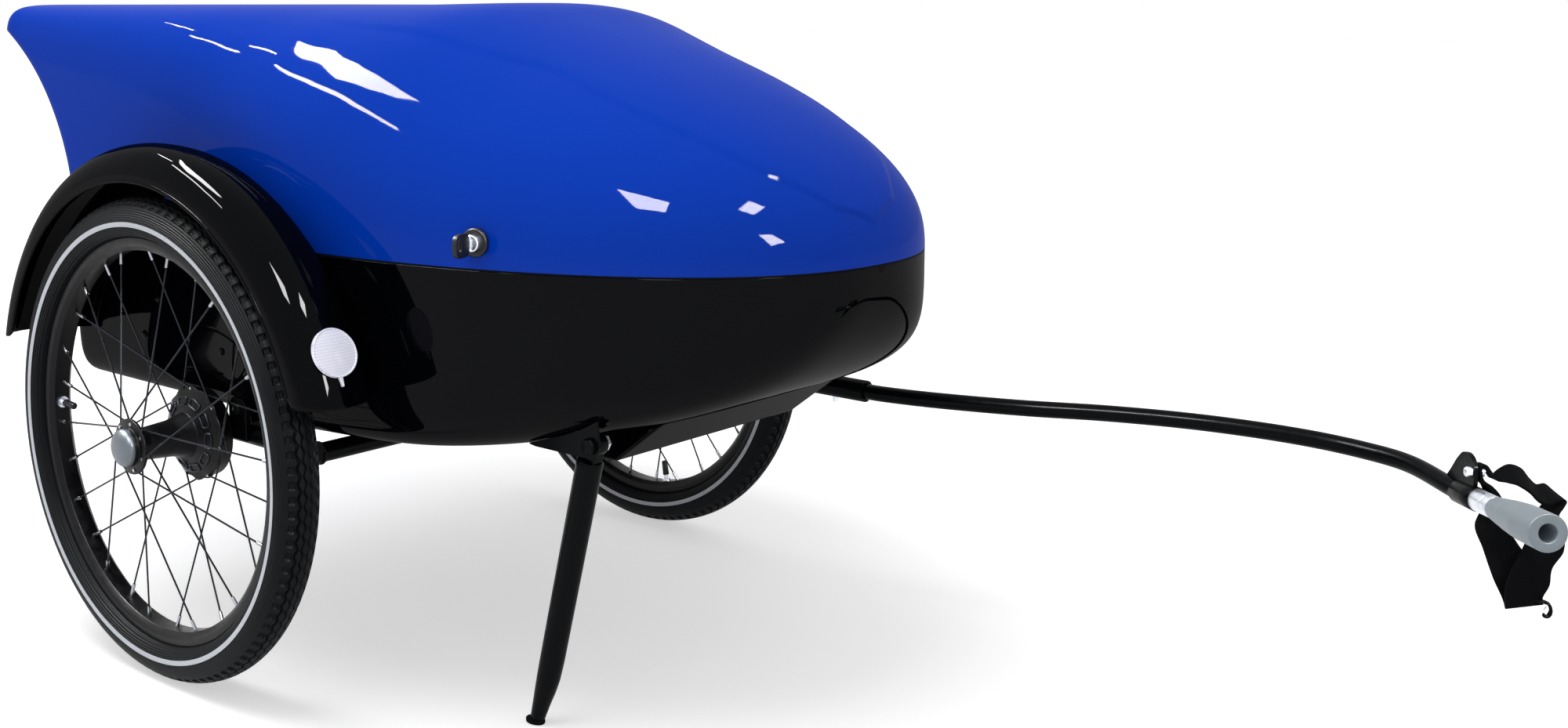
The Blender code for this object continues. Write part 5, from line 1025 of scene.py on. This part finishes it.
leg_up = unit(leg_axis(KNEE_HEIGHT) - leg_axis(0.0))
leg_back = np.array((-leg_up[2], 0.0, leg_up[0]))
heights = np.linspace(KNEE_HEIGHT, TAPER[0, 0], 60)
leg_radii = np.interp(heights, *TAPER.T)
leg_line = leg_axis(heights) + leg_back * (LEG_RADIUS - leg_radii)[:, None]
neck_foot = leg_line[0] - leg_up * 0.010
tip = leg_line[-1]
leg_line = np.vstack((leg_line[0] + leg_up * 0.0030, leg_line[0] + leg_up * 0.0018, leg_line))
leg_radii = np.concatenate(((0.0086, 0.0118), leg_radii))
swept("tapered_leg", leg_line, leg_radii, body="kickstand", sides=40, up=(0.0, 1.0, 0.0), replaces="stand_leg")
turned("leg_eye", rounded(mm((4.3, -6.2), (9.8, -6.2), (9.8, 6.2), (4.3, 6.2)), 0.0008, 3),
       frame_at(PIVOT, TOWARDS_RIGHT), body="kickstand", steps=56)
neck_top = leg_axis(0.2930)
neck = np.array([neck_top - leg_back * 0.0100, neck_top + leg_back * 0.0118, neck_foot + leg_back * 0.0118,
                 neck_foot - leg_back * 0.0100])[:, [0, 2]]
flat_piece("leg_neck", neck, 0.0124, 0.0012, frame_at((0.0, STAND_SIDE, 0.0), TOWARDS_RIGHT), body="kickstand")
sole = polar(1.0, turns(48), 0.0)[:, :2] * (0.0111, 0.0076)
flat_piece("rubber_sole", sole, 0.0046, 0.0014, frame_at((tip[0] - 0.0039, STAND_SIDE, 0.0023), UP), "seal_rubber",
           "kickstand", replaces="stand_foot")

# %% [markdown]
# The lock sits in the lid's side. A wide black bezel is turned round a bright plug, and the key stands
# out of it: its head is a thick rounded square with an oblong hole, left without any marking.

# %% Lock and key
LOCK_X, LOCK_Z = 0.375, 0.478
slope = float(side_at(LOCK_X + 0.001, LOCK_Z) - side_at(LOCK_X - 0.001, LOCK_Z))
lock_forward = np.array((0.002, -slope, 0.0)) / math.hypot(0.002, slope)
lock_out = np.array((lock_forward[1], -lock_forward[0], 0.0))
LOCK = (np.array((lock_forward, UP, lock_out)), np.array((LOCK_X, -float(side_at(LOCK_X, LOCK_Z)), LOCK_Z)))
bezel = rounded(mm((12.3, 5.1), (13.5, 3.6), (13.5, 0.6), (9.5, 0.6), (9.5, -20), (8.1, -20), (8.1, 5.1)), 0.0007)
turned("lock_bezel", bezel, LOCK, "black_plastic", "lid", steps=80, replaces="lock_body")
plug = rounded(mm((0, 10.6), (7, 10.6), (7.8, 9.8), (7.8, -19), (4, -19), (4, -24.5), (0, -24.5)), 0.0004, 3)
turned("lock_barrel", plug, LOCK, "zinc", "lock", steps=64, replaces="lock_plug")


def key_head():
    """A closed section carried round: it runs over the outer outline's edge and back through the hole's.

    The outer outline is |y/11|^3 + |z/11.5|^3 = 1 in mm, the hole an oblong of 9 by 4 mm.
    """
    q = turns(72)[:, None]
    outer_up, outer_out, inner_up, inner_out = (
        squared(wave(q), power) * size for wave, power, size in (
            (np.cos, 2.0 / 3.0, 0.0110), (np.sin, 2.0 / 3.0, 0.0115), (np.cos, 0.7, 0.0045), (np.sin, 0.7, 0.0020)))
    share = np.array((0.0, 0.03, 0.1, 0.9, 0.97, 1.0, 1.0, 0.97, 0.9, 0.1, 0.03, 0.0))
    depth = 0.0024 * np.array((0.6, 0.9, 1.0, 1.0, 0.9, 0.6, -0.6, -0.9, -1.0, -1.0, -0.9, -0.6))
    up = outer_up * (1.0 - share) + inner_up * share
    out = 0.0261 + outer_out * (1.0 - share) + (inner_out + 0.0045) * share
    return np.stack((np.broadcast_to(depth, up.shape), up, out), axis=-1)


surface("key_bow", into(LOCK, key_head()), "black_plastic", "lock", ring=True, around=True, replaces="key")
blade = mm((-3.8, 1), (3.8, 1), (3.8, 20.6), (-3.8, 20.6))
flat_piece("key_blade", blade, 0.0018, 0.0003, (np.roll(LOCK[0], -1, axis=0), LOCK[1]), "zinc", "lock")

# %% [markdown]
# Small fasteners hold the mudguards and fittings to the tub: low domed heads 8.4 millimetres across.
# Each sits on the tub's side where the hull's own formula puts it.

# %% Small bolts on the tub's sides
BOLT_HEAD = mm((0, 2.6), (1.8, 2.4), (3.4, 1.6), (4.2, 0.4), (4.2, -1.2), (0, -1.2))
BOLT_PLACES = ((-0.116, 0.374), (-0.146, 0.331), (0.007, 0.332))
for side_name, way in (("right", -1.0), ("left", 1.0)):
    for number, (x, z) in enumerate(BOLT_PLACES):
        turned(f"{side_name}_tub_bolt_{number}", BOLT_HEAD,
               frame_at((x, way * float(side_at(x, z)), z), (0.0, way, 0.0)), steps=28)

# %% [markdown]
# Pieces of the solid model that are fine enough as they are stay in view and take a finish.

# %% Finishes for the pieces left in view
NODE_FINISH = {
    "rim_seal": "seal_rubber", "lock_nut": "zinc", "lock_cam": "zinc", "lock_strike": "zinc", "tow_bar_pin": "zinc",
    "stand_bracket": "black_paint", "stand_pivot_bolt": "black_paint", "stand_pivot_nut": "zinc",
    "stand_stop": "seal_rubber",
}
for side_name in ("left", "right"):
    for start in ("tub_hinge", "lid_hinge", "hinge_pin"):
        NODE_FINISH[f"{start}_{side_name}"] = "steel"
    for end, finish in (("inner_tube", "seal_rubber"), ("bearing_inner", "steel"), ("bearing_outer", "steel"),
                        ("stub_axle", "steel"), ("axle_nut", "zinc"), ("back_plate", "black_paint")):
        NODE_FINISH[f"{side_name}_{end}"] = finish
for name, finish in NODE_FINISH.items():
    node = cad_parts[name]
    node.data.materials.clear()
    node.data.materials.append(FINISHES[finish])
print(len(NODE_FINISH), "solid pieces kept in view")

# %% [markdown]
# The studio: a plain pale floor and a white surround. The surround is white to the camera and in
# reflections, and dimmer for the light it gives, so that colours come out as written. The floor is
# lifted for the camera by the distance from its middle, so that it keeps a soft shadow there.

# %% Floor and surround
WHITE = (1.0, 1.0, 1.0, 1.0)
FLOOR_HALF, FLOOR_DROP = 30.0, -0.0004


def seen_by(tree, *kinds):
    """1 for a ray of the kinds named, 0 for any other: the greatest of those outputs."""
    rays = add_node(tree, "ShaderNodeLightPath").outputs
    seen = rays[kinds[0]]
    for kind in kinds[1:]:
        seen = add_node(tree, "ShaderNodeMath", {0: seen, 1: rays[kind]}, operation="MAXIMUM").outputs[0]
    return seen


def flat_stage(name, outline, height, finish):
    """A flat face for the studio, at a height."""
    mesh = bpy.data.meshes.new(name)
    mesh.from_pydata([(x, y, height) for x, y in outline], [], [tuple(range(len(outline)))])
    mesh.materials.append(finish)
    obj = bpy.data.objects.new(name, mesh)
    bpy.context.scene.collection.objects.link(obj)
    return obj


scene = bpy.context.scene
scene.view_settings.view_transform = "Standard"
card, tree, shader = base("matt_white_card", "#F2F2F2", 0.9, Specular_IOR_Level=0.2, Emission_Color=WHITE)
where = add_node(tree, "ShaderNodeTexCoord").outputs["Object"]
reach = add_node(tree, "ShaderNodeVectorMath", {0: where}, operation="LENGTH")
fade = add_node(tree, "ShaderNodeMapRange", {"Value": reach.outputs["Value"], "From Min": 0.8, "From Max": 3.5,
                                             "To Min": 0.50, "To Max": 0.80}, interpolation_type="SMOOTHSTEP")
lift = add_node(tree, "ShaderNodeMath", {0: seen_by(tree, "Is Camera Ray", "Is Glossy Ray"),
                                         1: fade.outputs["Result"]}, operation="MULTIPLY")
tree.links.new(lift.outputs[0], shader.inputs["Emission Strength"])
flat_stage("floor", [(x * FLOOR_HALF, y * FLOOR_HALF) for x, y in ((-1, -1), (1, -1), (1, 1), (-1, 1))],
           FLOOR_DROP, card)

world = bpy.data.worlds.new("studio")
scene.world = world
world.use_nodes = True
seen = seen_by(world.node_tree, "Is Camera Ray", "Is Glossy Ray", "Is Transmission Ray")
level = add_node(world.node_tree, "ShaderNodeMapRange", {"Value": seen, "To Min": 0.50})
surround = world.node_tree.nodes["Background"]
surround.inputs["Color"].default_value = WHITE
world.node_tree.links.new(level.outputs["Result"], surround.inputs["Strength"])
print("floor half size", FLOOR_HALF, "m")

# %% [markdown]
# Two kinds of lamp. Diffusers hang where the photograph's highlights lead when a ray from the camera is
# mirrored at the hull: they are seen only in gloss. One soft lamp gives light and is not seen at all.

# %% The diffusers and the soft lamp
GLOSS_PANELS = {
    "long_panel": (2.9, ((-2.36, 0.00), (-2.20, -0.16), (-2.05, -0.42), (-1.66, -0.78), (-1.12, -1.05),
                         (-0.92, -1.14), (-1.08, -1.36), (-1.43, -1.43), (-2.02, -1.25), (-2.21, -0.64),
                         (-2.29, -0.25))),
    "side_panel": (2.9, ((-2.54, -1.22), (-2.30, -1.56), (-1.74, -2.06), (-1.27, -2.27), (-1.31, -2.38),
                         (-1.84, -2.22), (-2.42, -1.68), (-2.62, -1.30))),
    "lip_panel": (2.9, ((-3.27, -0.12), (-2.86, -0.44), (-2.48, -0.72), (-2.50, -0.80), (-2.90, -0.53))),
    "bow_panel": (2.9, ((0.50, -1.64), (1.18, -1.46), (1.51, -2.09), (1.12, -2.43))),
    "front_panel": (2.9, ((1.84, -0.50), (1.48, 0.04), (1.80, 0.19), (2.20, -0.34))),
    "low_panel": (1.6, ((2.09, -0.65), (2.12, -0.39), (3.10, -0.28), (3.64, -0.84))),
}
GLOSS_BRIGHTNESS = 130.0
LIGHT_SIZE, LIGHT_BRIGHTNESS = (2.4, 1.4), 5.2
diffuser = bpy.data.materials.new("lit_diffuser")
diffuser.use_nodes = True
diffuser_inputs = diffuser.node_tree.nodes["Principled BSDF"].inputs
diffuser_inputs["Emission Color"].default_value = WHITE
diffuser_inputs["Emission Strength"].default_value = GLOSS_BRIGHTNESS
for name, (height, outline) in GLOSS_PANELS.items():
    panel = flat_stage(name, outline, height, diffuser)
    panel.visible_camera = panel.visible_diffuse = panel.visible_shadow = False
light_data = bpy.data.lights.new("soft_light", "AREA")
light_data.shape = "RECTANGLE"
light_data.size, light_data.size_y = LIGHT_SIZE
light_data.energy = math.pi * LIGHT_SIZE[0] * LIGHT_SIZE[1] * LIGHT_BRIGHTNESS
soft_light = bpy.data.objects.new("soft_light", light_data)
soft_light.location = (-0.4, -0.9, 2.9)
soft_light.visible_glossy = False
scene.collection.objects.link(soft_light)
print(len(GLOSS_PANELS), "diffusers and one lamp")

# %% [markdown]
# The camera stands where the photograph was taken from, to the right and ahead, level with the lid's top.

# %% Camera
camera_data = bpy.data.cameras.new("view")
camera_data.lens = 39.35
camera_data.sensor_width = 36.0
camera_data.shift_x = 0.05075
camera_data.shift_y = -0.0849
camera_data.clip_end = 200.0
camera = bpy.data.objects.new("view", camera_data)
camera.location = (1.1799, -1.3038, 0.6935)
camera.rotation_euler = (math.radians(90.0 - 7.596), 0.0, math.radians(40.913))
scene.collection.objects.link(camera)
scene.camera = camera
print("camera at", tuple(round(value, 3) for value in camera.location))
